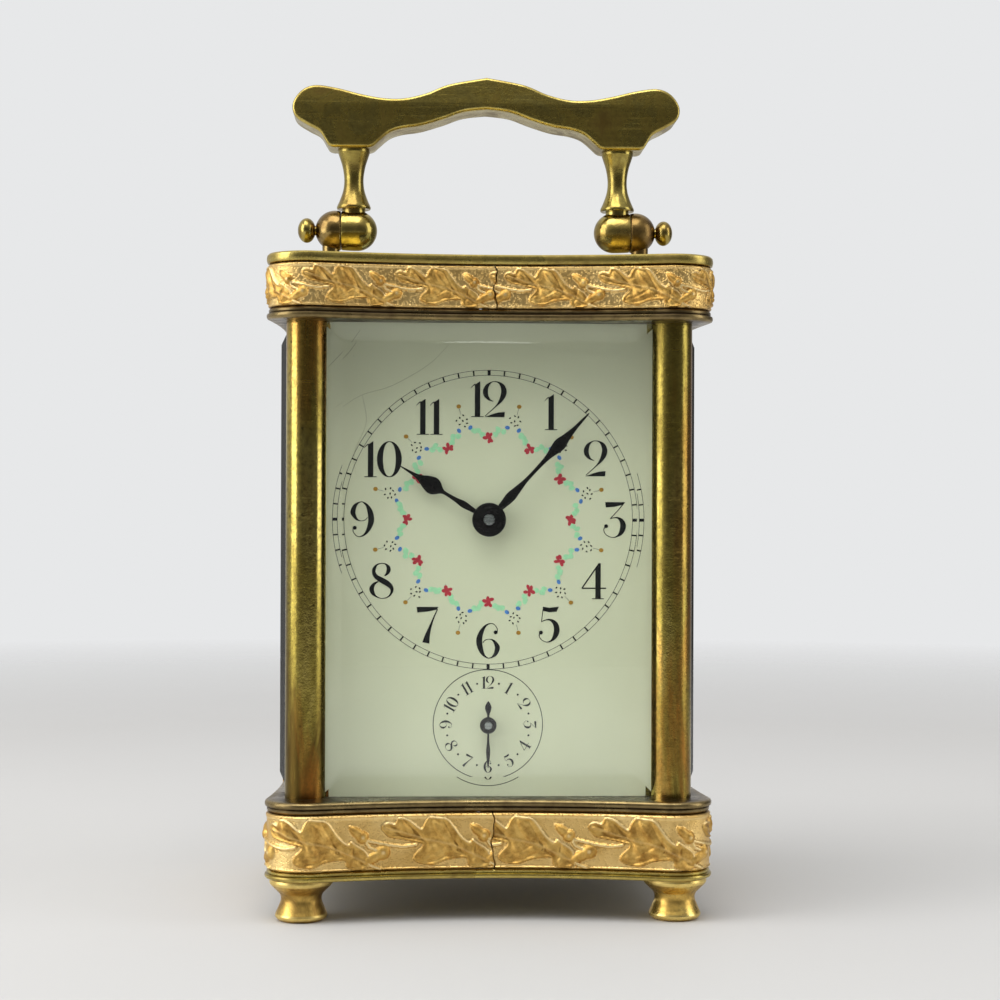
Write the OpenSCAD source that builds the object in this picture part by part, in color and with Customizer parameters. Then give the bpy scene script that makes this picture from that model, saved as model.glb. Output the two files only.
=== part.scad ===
// Carriage clock with alarm: a four-glass brass case, a folding handle, a rear door,
// an enamel dial with three hands, and an eight-day movement with a platform escapement.
// Millimetres. +Z is up, the front faces -Y, and the origin is on the floor under the middle of the case.

/* [Case] */
// Half the width of the plates, at the corners
plate_half_w = 43.3; // [42.9:0.1:44]
// Half the depth of the plates, at the corners
plate_half_d = 37; // [36.5:0.1:38]
// Radius of the plates' round corners
corner_r = 8; // [7:0.5:9]
// How far the front and back edges curve in at their middle
front_sag = 4.6; // [3.5:0.1:5]
// How far the side edges curve in at their middle
side_sag = 1.8; // [1:0.1:2]
// Height of the turned feet
foot_h = 8.3; // [8:0.1:9]
// Thickness of the bottom plate
bottom_plate_t = 1.8; // [1.5:0.1:2]
// Height of the lower gilt band
base_band_h = 11; // [10:0.5:12]
// Thickness of the plate that the columns stand on
base_plate_t = 2.3; // [2:0.1:2.5]
// Length of the columns between the plates
column_h = 92.3; // [92:0.1:93]
// Thickness of the plate on top of the columns
top_frame_t = 2.2; // [2:0.1:2.5]
// Height of the upper gilt band
top_band_h = 8.5; // [8:0.5:9.5]
// Thickness of the top plate
top_plate_t = 2; // [1.8:0.1:2.4]
// Wall of the gilt bands, with their relief
band_wall = 2.3; // [2:0.1:2.5]
// How far the gilt bands stand out past the plates
band_proud = 0.5; // [0.2:0.1:0.6]

/* [Columns and glass] */
// Radius of the columns
column_r = 4.05; // [3.9:0.05:4.1]
// Column centre from the middle, across
column_x = 35.6; // [35.5:0.1:35.8]
// Column centre from the middle, front to back
column_y = 26.4; // [26.3:0.1:26.8]
// Thickness of the front glass
front_glass_t = 3; // [2.5:0.1:3.2]
// Thickness of the side glasses
side_glass_t = 3.6; // [3:0.1:3.8]
// Outer face of the side glasses from the middle
side_glass_x = 41; // [40.8:0.1:41.2]
// Width of the bevel round each glass
bevel_w = 4; // [4:0.2:5]
// Thickness of a glass at its edge
glass_edge_t = 1.4; // [1.2:0.1:1.6]

/* [Handle] */
// Height of the handle's pivots
pivot_z = 137; // [136.8:0.1:138]
// Radius of the round knuckles
knuckle_r = 4.15; // [4:0.05:4.2]
// Plane between the fixed and the moving knuckle, from the middle
knuckle_split_x = 30; // [29.8:0.1:30.2]
// Thickness of the handle bar, front to back
bar_t = 9; // [8:0.5:10]

/* [Dial and hands] */
// Height of the dial's centre
dial_z = 77.3; // [77:0.1:77.6]
// Height of the alarm dial's centre
alarm_z = 36.9; // [36.7:0.1:37.1]
// Angle of the minute hand, clockwise from 12
minute_angle = 43; // [0:1:359]
// Angle of the hour hand, clockwise from 12
hour_angle = 302.5; // [0:0.5:359.5]
// Angle of the alarm hand, clockwise from 12
alarm_angle = 180; // [0:1:359]

/* [Hidden] */
$fn = 64;

// Colours.
BRASS = "#8f7a35";
DARK_BRASS = "#6f6236";
GILT = "#d9a94e";
PALE_BRASS = "#c9ad62";
STEEL = "#a8abad";
BLUE_STEEL = "#2a2f45";
BLACK_STEEL = "#1c1a1a";
ENAMEL = "#e3e8cf";
CLEAR_GLASS = [0.8, 0.92, 0.88, 0.35];

// Levels of the case, upwards from the floor.
z_bottom_plate = foot_h;
z_base_band = z_bottom_plate + bottom_plate_t;
z_base_plate = z_base_band + base_band_h;
z_columns = z_base_plate + base_plate_t;
z_top_frame = z_columns + column_h;
z_top_band = z_top_frame + top_frame_t;
z_top_plate = z_top_band + top_band_h;
z_top = z_top_plate + top_plate_t;

// Feet and the corners of the plates.
foot_x = 36.2;
foot_y = 29;
corner_x = plate_half_w - corner_r;
corner_y = plate_half_d - corner_r;

// Layers of the movement, front to back (along Y).
y_dial = [-21, -19.6];
y_front_plate = [-14, -12];
y_back_plate = [10, 12];
y_hour_wheel = [-17, -16.2];
y_minute_wheel = [-15.8, -14.8];
y_barrel_teeth = [-9, -7.5];
y_second_wheel = [7.5, 8.5];
y_centre_wheel = [3, 4];
y_third_wheel = [-3, -2];
y_contrate_disc = [-9.4, -8.4];
y_crown_root = -6.8;
y_crown_tip = -6;
y_alarm_escape = [6, 7];
y_gong = [14.5, 15.7];
y_squares = 20;
plate_half_x = 30;
plate_z = [z_columns, 105];

// Pivots and running clearance.
pivot_r = 0.6;
run = 0.05;

// Gear teeth: share of the pitch that a tooth fills, and its height and depth in modules.
tooth_share = 0.4;
tooth_up = 0.85;
tooth_down = 1.2;

// Motion work: the cannon pinion turns the minute wheel, whose pinion turns the hour wheel.
cannon_teeth = 12;
minute_teeth = 36;
minute_pinion_teeth = 10;
hour_teeth = 40;
cannon_m = 0.3;
hour_m = 0.288;
motion_distance = cannon_m * (cannon_teeth + minute_teeth) / 2;
motion_dir = -45;
centre_xz = [0, dial_z];
minute_xz = centre_xz + motion_distance * [cos(motion_dir), sin(motion_dir)];

// Alarm work under the dial: an idler carries the hour wheel's turn down to the alarm wheel.
alarm_xz = [0, alarm_z];
idler_teeth = 104;
idler_distance = hour_m * (hour_teeth + idler_teeth) / 2;
alarm_drop = (dial_z - alarm_z) / 2;
idler_xz = [-sqrt(idler_distance * idler_distance - alarm_drop * alarm_drop), dial_z - alarm_drop];

// Going train: barrel, second wheel, centre wheel, third wheel, contrate wheel, escape wheel.
barrel_teeth = 84;
second_pinion_teeth = 12;
barrel_m = 0.38;
barrel_xz = [13.5, 51];
second_teeth = 66;
centre_pinion_teeth = 12;
second_m = 0.3;
second_xz = meeting_point(barrel_xz, barrel_m * (barrel_teeth + second_pinion_teeth) / 2,
                          centre_xz, second_m * (second_teeth + centre_pinion_teeth) / 2, 1);
centre_teeth = 72;
third_pinion_teeth = 9;
centre_m = 0.28;
third_teeth = 75;
contrate_pinion_teeth = 10;
third_m = 0.25;
contrate_xz = [0, 93];
third_xz = meeting_point(centre_xz, centre_m * (centre_teeth + third_pinion_teeth) / 2,
                         contrate_xz, third_m * (third_teeth + contrate_pinion_teeth) / 2, 1);
crown_teeth = 60;
crown_r = 9;
escape_pinion_teeth = 6;
crown_pitch = 2 * PI * crown_r / crown_teeth;
escape_pinion_r = escape_pinion_teeth * crown_pitch / (2 * PI);
escape_y = y_crown_tip - 0.3 + escape_pinion_r;

// Alarm train: barrel and alarm escape wheel, which rocks the hammer's verge.
alarm_barrel_teeth = 64;
alarm_pinion_teeth = 10;
alarm_barrel_xz = [-16, 47];
alarm_escape_dir = 105;
alarm_escape_xz = alarm_barrel_xz + barrel_m * (alarm_barrel_teeth + alarm_pinion_teeth) / 2
                  * [cos(alarm_escape_dir), sin(alarm_escape_dir)];
alarm_escape_r = 6;
hammer_xz = alarm_escape_xz + 8.6 * [cos(80), sin(80)];
hammer_head_xz = [-9.6, 80.6];

// Platform escapement on top of the movement plates.
platform_z = plate_z[1];
platform_t = 1.5;
escape_tip_r = 3.3;
escape_wheel_z = 108;
lever_y = -0.5;
balance_y = 5.2;
balance_r = 5.4;
balance_z = 110.2;
cock_z = 112;

// Pillars of the movement, across and up.
pillar_x = 26;
pillar_z = [31, 101];
pillar_xz = [for (x = [-pillar_x, pillar_x], z = pillar_z) [x, z]];

// Screws from below the base: into the lower pillars, and from the bottom plate into the plate above.
pillar_screw_y = [-8, 6];
tie_screw_r = 1.1;
tie_screw_xy = [for (x = [-20, 20], y = [-22, 22]) [x, y]];

// Round studs: those of the columns, of the knuckles, and of the dial.
column_screw_r = 1.5;
knuckle_stud_r = 1.3;
knuckle_stud_x = knuckle_split_x + 1.4;
dial_stud_r = 0.9;
dial_stud_xz = [for (x = [-28, 28], z = [34, 99]) [x, z]];

// Middle height of the upright glasses, and the plane of the front one.
glass_z = z_columns + column_h / 2;
front_glass_y = -26.6;

// Slots for the glasses: their middle from the column's centre, and their depth.
slot_y = 4;
slot_w = 4;

// Glass of the top, and the window cut for it.
window_x = 24;
window_y = 17;

// Rear door: its hinge line, its plane, its far edge and its rails.
door_hinge_x = -30.5;
door_y = 28;
door_half_t = 1;
door_right_x = 31.2;
door_z = [z_columns + 0.4, z_top_frame - 0.4];
door_rail = 3;
door_pin_r = 0.6;

// Legs of the handle.
leg_x = 27.4;
leg_top_z = 153.7;

// Arbors, tubes and studs of the movement, and the pivot holes that both plates share.
centre_tube_r = 1.45;
setting_r = 0.85;
winding_front_r = 1.4;
winding_back_r = 1.8;
alarm_arbor_r = 1;
idler_stud_r = 0.8;
train_holes = [for (p = [second_xz, third_xz, contrate_xz, alarm_escape_xz]) [p, pivot_r + run]];

// Dial plate: half its width, and the gap above and below it.
dial_half_x = 31.3;
dial_edge_gap = 0.2;

// The point at distances ra and rb from a and b, on the left of the line from a to b for side 1.
function meeting_point(a, ra, b, rb, side) =
  let (d = norm(b - a), u = (b - a) / d, along = (d * d + ra * ra - rb * rb) / (2 * d))
  a + along * u + side * sqrt(max(0, ra * ra - along * along)) * [-u[1], u[0]];

// Direction from a to b, in degrees.
function direction(a, b) = atan2(b[1] - a[1], b[0] - a[0]);

// Where a second gear's tooth has to point, so that it meshes with a first one.
// The first gear lies in direction dir from it.
function mesh_phase(dir, teeth_a, phase_a, teeth_b) =
  dir + 180 - (0.5 - (dir - phase_a) * teeth_a / 360) * 360 / teeth_b;

// Outline of one gear, six points a tooth, with a tooth at angle 0.
function gear_points(teeth, m, root_share) =
  let (r = teeth * m / 2, half = 90 * tooth_share / teeth * 2)
  [for (i = [0:teeth - 1], p = [[r - tooth_down * m, -root_share], [r, -1], [r + tooth_up * m, -0.42],
                               [r + tooth_up * m, 0.42], [r, 1], [r - tooth_down * m, root_share]])
    let (a = 360 * i / teeth + half * p[1]) p[0] * [cos(a), sin(a)]];

// Pointed saw teeth, as on an escape wheel or a ratchet wheel.
function saw_points(teeth, tip_r, root_r, lean, tip_share) =
  [for (i = [0:teeth - 1], p = [[root_r, 0.1], [tip_r, lean - tip_share], [tip_r, lean + tip_share],
    [root_r, 0.55]])
    let (a = 360 * (i + p[1]) / teeth) p[0] * [cos(a), sin(a)]];

// Outline of the plates: round corners joined by shallow inward arcs. grow moves it outwards.
function curve_radius(chord, sag) = (chord * chord + sag * sag) / (2 * sag);
function plate_outline(grow) =
  let (sf = curve_radius(corner_x, front_sag), ss = curve_radius(corner_y, side_sag),
       af = asin(corner_x / sf), as = asin(corner_y / ss),
       front_c = [0, -(corner_y + sf - front_sag)], side_c = [corner_x + ss - side_sag, 0],
       r = corner_r + grow,
       front = [for (i = [0:14]) let (t = af * i / 14) front_c + (sf - r) * [sin(t), cos(t)]],
       corner = [for (i = [1:13]) let (t = 270 - af + (90 + af + as) * i / 14)
         [corner_x, -corner_y] + r * [cos(t), sin(t)]],
       side = [for (i = [0:7]) let (t = -as * (1 - i / 7)) side_c + (ss - r) * [-cos(t), sin(t)]],
       quarter = concat(front, corner, side),
       half = concat(quarter, [for (i = [len(quarter) - 2:-1:0]) [quarter[i][0], -quarter[i][1]]]))
  concat(half, [for (i = [len(half) - 2:-1:1]) [-half[i][0], half[i][1]]]);

// Smooth curve through a list of points, n steps between neighbours.
function catmull(p, n) =
  [for (i = [0:len(p) - 2], k = [0:n - 1])
    let (t = k / n, a = p[max(i - 1, 0)], b = p[i], c = p[i + 1], d = p[min(i + 2, len(p) - 1)])
    0.5 * (2 * b + (c - a) * t + (2 * a - 5 * b + 4 * c - d) * t * t + (3 * b - a - 3 * c + d) * t * t * t)];

// Children drawn flat, as seen from the front, become a slab from y[0] to y[1].
module between(y) {
  translate([0, y[1], 0]) rotate([90, 0, 0]) linear_extrude(y[1] - y[0]) children();
}

// A round bar along Y at a point of the front view.
module bar_y(xz, y0, y1, r) {
  translate([xz[0], y1, xz[1]]) rotate([90, 0, 0]) cylinder(r = r, h = y1 - y0);
}

// A round bar along Z.
module upright(x, y, z0, z1, r) {
  translate([x, y, z0]) cylinder(r = r, h = z1 - z0);
}

// A square bar along Y.
module square_y(xz, y0, y1, side) {
  translate([xz[0] - side / 2, y0, xz[1] - side / 2]) cube([side, y1 - y0, side]);
}

// A gear in the front view with a hub and crossed-out arms.
module gear(xz, y, teeth, m, phase, arms = 5, bore = 0) {
  rim_r = teeth * m / 2 - 2.6 * m - 0.5;
  hub_r = 2;
  translate([xz[0], 0, xz[1]]) between(y) rotate(phase) difference() {
    polygon(gear_points(teeth, m, 1.15));
    if (arms > 0) difference() {
      circle(r = rim_r);
      circle(r = hub_r);
      for (i = [0:arms - 1]) rotate(360 * i / arms) translate([0, -0.5]) square([rim_r + 1, 1]);
    }
    if (bore > 0) circle(r = bore);
  }
}

// A solid pinion in the front view.
module pinion(xz, y, teeth, m, phase, bore = 0) {
  translate([xz[0], 0, xz[1]]) between(y) rotate(phase) difference() {
    polygon(gear_points(teeth, m, 0.7));
    if (bore > 0) circle(r = bore);
  }
}

// An arbor with pivots that run in both movement plates.
module arbor(xz, r = 0.9) {
  bar_y(xz, y_front_plate[1] + 0.3, y_back_plate[0] - 0.3, r);
  bar_y(xz, y_front_plate[0] + 0.3, y_back_plate[1] - 0.3, pivot_r);
}

// ---- Case ----

module base_bottom_plate() {
  color(BRASS) difference() {
    translate([0, 0, z_bottom_plate]) linear_extrude(bottom_plate_t) polygon(plate_outline(0));
    for (x = [-1, 1], y = [-1, 1]) upright(x * foot_x, y * foot_y, z_bottom_plate - 1, z_base_band + 1, 1.5);
    for (p = tie_screw_xy) upright(p[0], p[1], z_bottom_plate - 1, z_base_band + 1, tie_screw_r);
  }
}

module band(z, h) {
  color(GILT) translate([0, 0, z]) linear_extrude(h) difference() {
    polygon(plate_outline(band_proud));
    polygon(plate_outline(band_proud - band_wall));
  }
}

module base_top_plate() {
  color(DARK_BRASS) difference() {
    translate([0, 0, z_base_plate]) linear_extrude(base_plate_t) polygon(plate_outline(0));
    for (x = [-1, 1], y = [-1, 1])
      upright(x * column_x, y * column_y, z_base_plate - 1, z_columns + 1, column_screw_r);
    for (x = [-1, 1], y = pillar_screw_y) upright(x * pillar_x, y, z_base_plate - 1, z_columns + 1, 1);
    for (p = tie_screw_xy) upright(p[0], p[1], z_base_plate - 1, z_columns - 0.6, tie_screw_r);
    upright(door_hinge_x, door_y, z_base_plate + 0.8, z_columns + 1, door_pin_r + run);
  }
}

// A turned foot: a spreading base, a waist and a round lip, with a stud riveted over the bottom plate.
module foot(x, y) {
  profile = catmull([[4.2, 0.05], [5.05, 0.9], [4.6, 2.2], [3.95, 3.9], [4.15, 5.1], [5.2, 6.2], [6.1, 7.2],
    [6.1, foot_h - 0.3]], 4);
  color(BRASS) translate([x, y, 0]) {
    rotate_extrude() polygon(concat([[0, 0], [3.6, 0]], profile, [[5.8, foot_h], [0, foot_h]]));
    cylinder(r = 1.5, h = z_base_band + 0.8);
    translate([0, 0, z_base_band]) cylinder(r = 2.4, h = 0.8);
  }
}

// A column with slots for the glasses on its two inner sides.
module column(x, y) {
  sx = x > 0 ? 1 : -1;
  sy = y > 0 ? 1 : -1;
  color(BRASS) difference() {
    translate([x, y, z_columns]) cylinder(r = column_r, h = column_h);
    if (sy < 0) translate([x - sx * slot_y, front_glass_y - 0.2, glass_z])
      cube([slot_w, glass_edge_t + 0.5, column_h + 2], center = true);
    translate([sx * (side_glass_x - side_glass_t + glass_edge_t / 2), y - sy * slot_y, glass_z])
      cube([glass_edge_t + 2 * run, slot_w, column_h + 2], center = true);
    upright(x, y, z_columns - 1, z_columns + 12, column_screw_r);
    upright(x, y, z_top_frame - 12, z_top_frame + 1, column_screw_r);
  }
}

module top_frame_plate() {
  color(DARK_BRASS) difference() {
    translate([0, 0, z_top_frame]) linear_extrude(top_frame_t) polygon(plate_outline(0));
    translate([-24, -18, z_top_frame - 1]) cube([48, 36, 5]);
    for (x = [-1, 1], y = [-1, 1])
      upright(x * column_x, y * column_y, z_top_frame - 1, z_top_band + 1, column_screw_r);
    for (s = [-1, 1]) upright(s * knuckle_stud_x, 0, z_top_frame + 0.5, z_top_band + 1, knuckle_stud_r);
    upright(door_hinge_x, door_y, z_top_frame - 1, z_top_frame + 1.5, door_pin_r + run);
  }
}

module top_plate() {
  color(BRASS) difference() {
    translate([0, 0, z_top_plate]) linear_extrude(top_plate_t) polygon(plate_outline(0));
    translate([-window_x, -window_y, z_top_plate - 1]) cube([2 * window_x, 2 * window_y, 5]);
    for (s = [-1, 1]) upright(s * knuckle_stud_x, 0, z_top_plate - 1, z_top + 1, knuckle_stud_r);
  }
}

// A bevelled pane that lies flat in the XY plane: full size at its back, smaller on its front face.
module pane(w, h, t, edge, bevel) {
  hull() {
    translate([-w / 2, -h / 2, 0]) cube([w, h, edge]);
    translate([-w / 2 + bevel, -h / 2 + bevel, 0]) cube([w - 2 * bevel, h - 2 * bevel, t]);
  }
}

module top_glass() {
  color(CLEAR_GLASS) translate([0, 0, z_top_plate - 0.4])
    pane(2 * window_x - 0.1, 2 * window_y - 0.1, 2.6, 1.4, 3.5);
}

module front_glass() {
  color(CLEAR_GLASS) translate([0, front_glass_y + glass_edge_t / 2, glass_z]) rotate([90, 0, 0])
    pane(2 * (column_x - column_r) + 2.2, column_h - 0.1, front_glass_t, glass_edge_t, bevel_w);
}

module side_glass(s) {
  color(CLEAR_GLASS) translate([s * (side_glass_x - side_glass_t), 0, glass_z]) rotate([90, 0, s * 90])
    pane(2 * (column_y - 2.5), column_h - 0.1, side_glass_t, glass_edge_t, bevel_w);
}

// Screws of the case: two in each column, and four that clamp the lower band between its plates.
module case_screws() {
  color(STEEL) {
    for (x = [-column_x, column_x], y = [-column_y, column_y]) {
      upright(x, y, z_base_plate - 2, z_base_plate, 2.6);
      upright(x, y, z_base_plate - 1, z_columns + 11, column_screw_r);
      upright(x, y, z_top_band, z_top_band + 2, 2.6);
      upright(x, y, z_top_frame - 11, z_top_band + 1, column_screw_r);
    }
    for (p = tie_screw_xy) difference() {
      union() {
        upright(p[0], p[1], z_bottom_plate - 1.2, z_bottom_plate, 2.4);
        upright(p[0], p[1], z_bottom_plate - 1, z_columns - 0.8, tie_screw_r);
      }
      translate([p[0] - 3, p[1] - 0.3, z_bottom_plate - 2]) cube([6, 0.6, 1.4]);
    }
  }
}

// ---- Handle ----

// A ball cut off at the plane between the two halves of a hinge.
module half_ball(centre_x, inside) {
  intersection() {
    translate([centre_x, 0, pivot_z]) sphere(r = knuckle_r);
    translate([inside ? 0 : knuckle_split_x + 0.06, -6, pivot_z - 6])
      cube([inside ? knuckle_split_x - 0.06 : 12, 12, 12]);
  }
}

// The fixed half of a hinge: its ball stands on a pedestal, with a stud through the top plate.
module knuckle(s) {
  color(DARK_BRASS) mirror([s < 0 ? 1 : 0, 0, 0]) difference() {
    union() {
      half_ball(31.1, false);
      intersection() {
        upright(knuckle_stud_x, 0, z_top, pivot_z, 2.4);
        translate([knuckle_split_x + 0.06, -6, z_top]) cube([12, 12, pivot_z - z_top]);
      }
      upright(knuckle_stud_x, 0, z_top_frame + 0.7, z_top + 1, knuckle_stud_r);
    }
    translate([knuckle_split_x - 2, 0, pivot_z]) rotate([0, 90, 0]) cylinder(r = 1.2 + run, h = 12);
  }
}

// One leg of the handle: the moving half of a hinge and a waisted stem up to the bar.
module handle_leg(s) {
  stem_z = pivot_z + 4.4;
  stem = catmull([[3.4, stem_z], [3.5, stem_z + 0.5], [2.9, stem_z + 1.9], [2.2, stem_z + 4],
    [2, stem_z + 6.3],
                  [2.35, stem_z + 8.8], [3, stem_z + 10.9], [3.3, leg_top_z - 0.5]], 4);
  color(BRASS) mirror([s < 0 ? 1 : 0, 0, 0]) difference() {
    union() {
      half_ball(26.7, true);
      translate([leg_x, 0, 0])
        rotate_extrude() polygon(concat([[0, pivot_z], [2.4, pivot_z + 2], [2.4, stem_z]], stem,
          [[3.3, leg_top_z], [0, leg_top_z]]));
    }
    translate([knuckle_split_x - 5, 0, pivot_z]) rotate([0, 90, 0]) cylinder(r = 1.2, h = 12);
  }
}

// The two pivot screws, each with an oval thumb knob outside the fixed knuckle.
module pivot_screws() {
  knob = [for (i = [0:12]) let (a = 180 * i / 12) [2.55 * sin(a), 37.1 - 1.85 * cos(a)]];
  color(BRASS) for (s = [0, 1]) mirror([s, 0, 0]) translate([0, 0, pivot_z]) rotate([0, 90, 0])
    rotate_extrude() polygon(concat([[0, 25], [1.2, 25], [1.2, 35.1], [0.95, 35.2], [0.95, 35.6]],
      [for (p = knob) if (p[0] > 0.95) p], [[0, 38.95]]));
}

// The shaped bar: a crowned middle, a dip each side, and round ends over the lugs.
bar_top = [[0, 168.3], [7.6, 166.9], [12.4, 165], [17, 163.9], [21.4, 163.9], [26, 164.7], [31, 165.9],
  [35.4, 166.4],
           [38.2, 165.2], [39.9, 162.6], [39.4, 160], [36.8, 158.2], [34.4, 156.9], [33.1, 154.9],
             [32.6, leg_top_z]];
bar_bottom = [[23.4, leg_top_z], [22.2, 155], [20, 156.8], [17.4, 157.7], [13.6, 158.3], [9, 159.7],
  [4.8, 161.2], [0, 161.8]];
module handle_bar() {
  right = concat(catmull(bar_top, 4), [bar_top[len(bar_top) - 1]], catmull(bar_bottom, 4), [[0, 161.8]]);
  left = [for (i = [len(right) - 2:-1:1]) [-right[i][0], right[i][1]]];
  color(BRASS) between([-bar_t / 2, bar_t / 2]) polygon(concat(right, left));
}

// ---- Rear door ----

module door_frame() {
  color(BRASS) difference() {
    union() {
      translate([door_hinge_x, door_y - door_half_t, door_z[0]])
        cube([door_right_x - door_hinge_x, 2 * door_half_t, door_z[1] - door_z[0]]);
      upright(door_hinge_x, door_y, door_z[0], door_z[1], door_half_t);
      upright(door_hinge_x, door_y, door_z[0] - 1.6, door_z[1] + 1.6, door_pin_r);
    }
    translate([door_hinge_x + door_rail - 1, door_y - 3, door_z[0] + door_rail])
      cube([door_right_x - door_hinge_x - 2 * door_rail + 1, 6, door_z[1] - door_z[0] - 2 * door_rail]);
  }
}

module door_glass() {
  w = door_right_x - door_hinge_x - 2 * door_rail + 1;
  color(CLEAR_GLASS) translate([door_hinge_x + door_rail - 1 + w / 2, door_y - 0.8, (door_z[0] + door_z[1])
    / 2])
    rotate([90, 0, 180]) pane(w, door_z[1] - door_z[0] - 2 * door_rail, 2.2, 1.2, 3.5);
}

module door_knob() {
  color(BRASS) translate([door_right_x - door_rail / 2, door_y + door_half_t, 69.5]) rotate([-90, 0, 0])
    rotate_extrude() polygon([[0, 0], [1.2, 0], [0.8, 1.2], [1.4, 2.2], [1.7, 3], [1.4, 3.8], [0, 4.2]]);
}

// ---- Movement frame ----

module movement_plate(y, holes) {
  color(PALE_BRASS) difference() {
    translate([-plate_half_x, y[0], plate_z[0]])
      cube([2 * plate_half_x, y[1] - y[0], plate_z[1] - plate_z[0]]);
    for (h = holes) bar_y(h[0], y[0] - 1, y[1] + 1, h[1]);
  }
}

module front_movement_plate() {
  movement_plate(y_front_plate, concat(train_holes,
    [[centre_xz, centre_tube_r + run], [barrel_xz, winding_front_r + run],
      [alarm_barrel_xz, winding_front_r + run],
     [alarm_xz, alarm_arbor_r + run], [hammer_xz, pivot_r + run]],
       [for (p = dial_stud_xz) [p, dial_stud_r]]));
  color(STEEL) {
    bar_y(minute_xz, -18, y_front_plate[0], pivot_r);
    bar_y(minute_xz, -18, -17.5, 1.1);
    bar_y(minute_xz, -14.6, y_front_plate[0], 1.2);
    bar_y(idler_xz, -17.8, y_front_plate[0], idler_stud_r);
    bar_y(idler_xz, -17.8, -17.2, 1.6);
    bar_y(idler_xz, -16, y_front_plate[0], 1.8);
  }
}

module back_movement_plate() {
  movement_plate(y_back_plate, concat(train_holes,
    [[centre_xz, centre_tube_r + run], [barrel_xz, winding_back_r + run],
      [alarm_barrel_xz, winding_back_r + run],
     [alarm_xz, alarm_arbor_r + run], [hammer_xz, pivot_r + run]], [for (p = pillar_xz) [p, 1.25]]));
}

module movement_pillars() {
  color(PALE_BRASS) for (p = pillar_xz) difference() {
    bar_y(p, y_front_plate[1], y_back_plate[0], 2.6);
    bar_y(p, y_back_plate[0] - 6, y_back_plate[1], 1.2);
    if (p[1] == pillar_z[0]) for (y = pillar_screw_y) upright(p[0], y, p[1] - 5, p[1] - 1.4, 1);
  }
}

// Slotted screws that hold the back plate to the pillars, and the lower pillars to the base.
module movement_screws() {
  color(BLUE_STEEL) {
    for (p = pillar_xz) difference() {
      union() {
        bar_y(p, y_back_plate[1], y_back_plate[1] + 1.6, 2.8);
        bar_y(p, y_back_plate[0] - 5, y_back_plate[1] + 1, 1.2);
      }
      translate([p[0] - 4, y_back_plate[1] + 0.9, p[1] - 0.3]) cube([8, 2, 0.6]);
    }
    for (x = [-pillar_x, pillar_x], y = pillar_screw_y) {
      upright(x, y, z_base_plate - 1.6, z_base_plate, 2);
      upright(x, y, z_base_plate - 1, pillar_z[0] - 1.6, 1);
    }
  }
}

// ---- Dial and hands ----

// The dial plate stands on four studs in front of the movement.
module dial() {
  color(ENAMEL) difference() {
    translate([-dial_half_x, y_dial[0], z_columns + dial_edge_gap])
      cube([2 * dial_half_x, y_dial[1] - y_dial[0], column_h - 2 * dial_edge_gap]);
    bar_y(centre_xz, y_dial[0] - 1, y_dial[1] + 1, 2);
    bar_y(alarm_xz, y_dial[0] - 1, y_dial[1] + 1, 1.3);
  }
  color(PALE_BRASS) for (p = dial_stud_xz) bar_y(p, y_dial[1], y_front_plate[0] + 1, dial_stud_r);
}

// Flat outline of a hand that points up: half-widths at heights, mirrored.
module hand_outline(stations) {
  polygon(concat([for (s = stations) [s[1], s[0]]],
    [for (i = [len(stations) - 1:-1:0]) [-stations[i][1], stations[i][0]]]));
}

minute_stations = [[1, 1], [4, 1.05], [9.5, 0.42], [16.5, 0.5], [20.2, 1.15], [24, 0.5], [28.6, 0.12]];
hour_stations = [[1, 0.6], [3.4, 0.55], [5, 0.95], [7, 0.45], [11, 0.42], [12.4, 1.1], [14, 1.75],
  [15.8, 1.2], [17.6, 0.5], [20, 0.12]];
alarm_stations = [[-9.6, 0.12], [-7, 0.35], [-3.4, 0.3], [0, 0.6], [2.2, 0.25], [2.9, 0.5], [3.7, 0.62],
  [4.6, 0.1]];

module minute_hand() {
  color(BLACK_STEEL) translate([0, 0, dial_z]) between([-24.4, -24]) difference() {
    union() {
      rotate(-minute_angle) hand_outline(minute_stations);
      circle(r = 3.3);
    }
    circle(r = setting_r);
  }
}

module hour_hand() {
  color(BLACK_STEEL) translate([0, 0, dial_z]) {
    between([-22.9, -22.5]) difference() {
      union() {
        rotate(-hour_angle) hand_outline(hour_stations);
        circle(r = 3.2);
      }
      circle(r = 1.6);
    }
  }
}

module alarm_hand() {
  color(BLACK_STEEL) translate([0, 0, alarm_z]) between([-23.3, -22.9]) difference() {
    union() {
      rotate(180 - alarm_angle) hand_outline(alarm_stations);
      circle(r = 1.55);
    }
    circle(r = 0.7);
  }
}

// The arbor that carries the minute hand and cannon pinion, and ends in the hand-setting square.
module setting_arbor() {
  color(STEEL) {
    bar_y(centre_xz, -25.3, y_back_plate[1] + 0.4, setting_r);
    square_y(centre_xz, y_back_plate[1] + 0.4, y_squares - 1, 2.2);
    pinion(centre_xz, [-15.8, -14.4], cannon_teeth, cannon_m, cannon_phase);
  }
}
minute_phase = direction(minute_xz, centre_xz);
cannon_phase = mesh_phase(direction(minute_xz, centre_xz), minute_teeth, minute_phase, cannon_teeth);
hour_phase = direction(centre_xz, minute_xz);
minute_pinion_phase = mesh_phase(direction(centre_xz, minute_xz), hour_teeth, hour_phase,
  minute_pinion_teeth);
idler_phase = mesh_phase(direction(centre_xz, idler_xz), hour_teeth, hour_phase, idler_teeth);
alarm_wheel_phase = mesh_phase(direction(idler_xz, alarm_xz), idler_teeth, idler_phase, hour_teeth);

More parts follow.
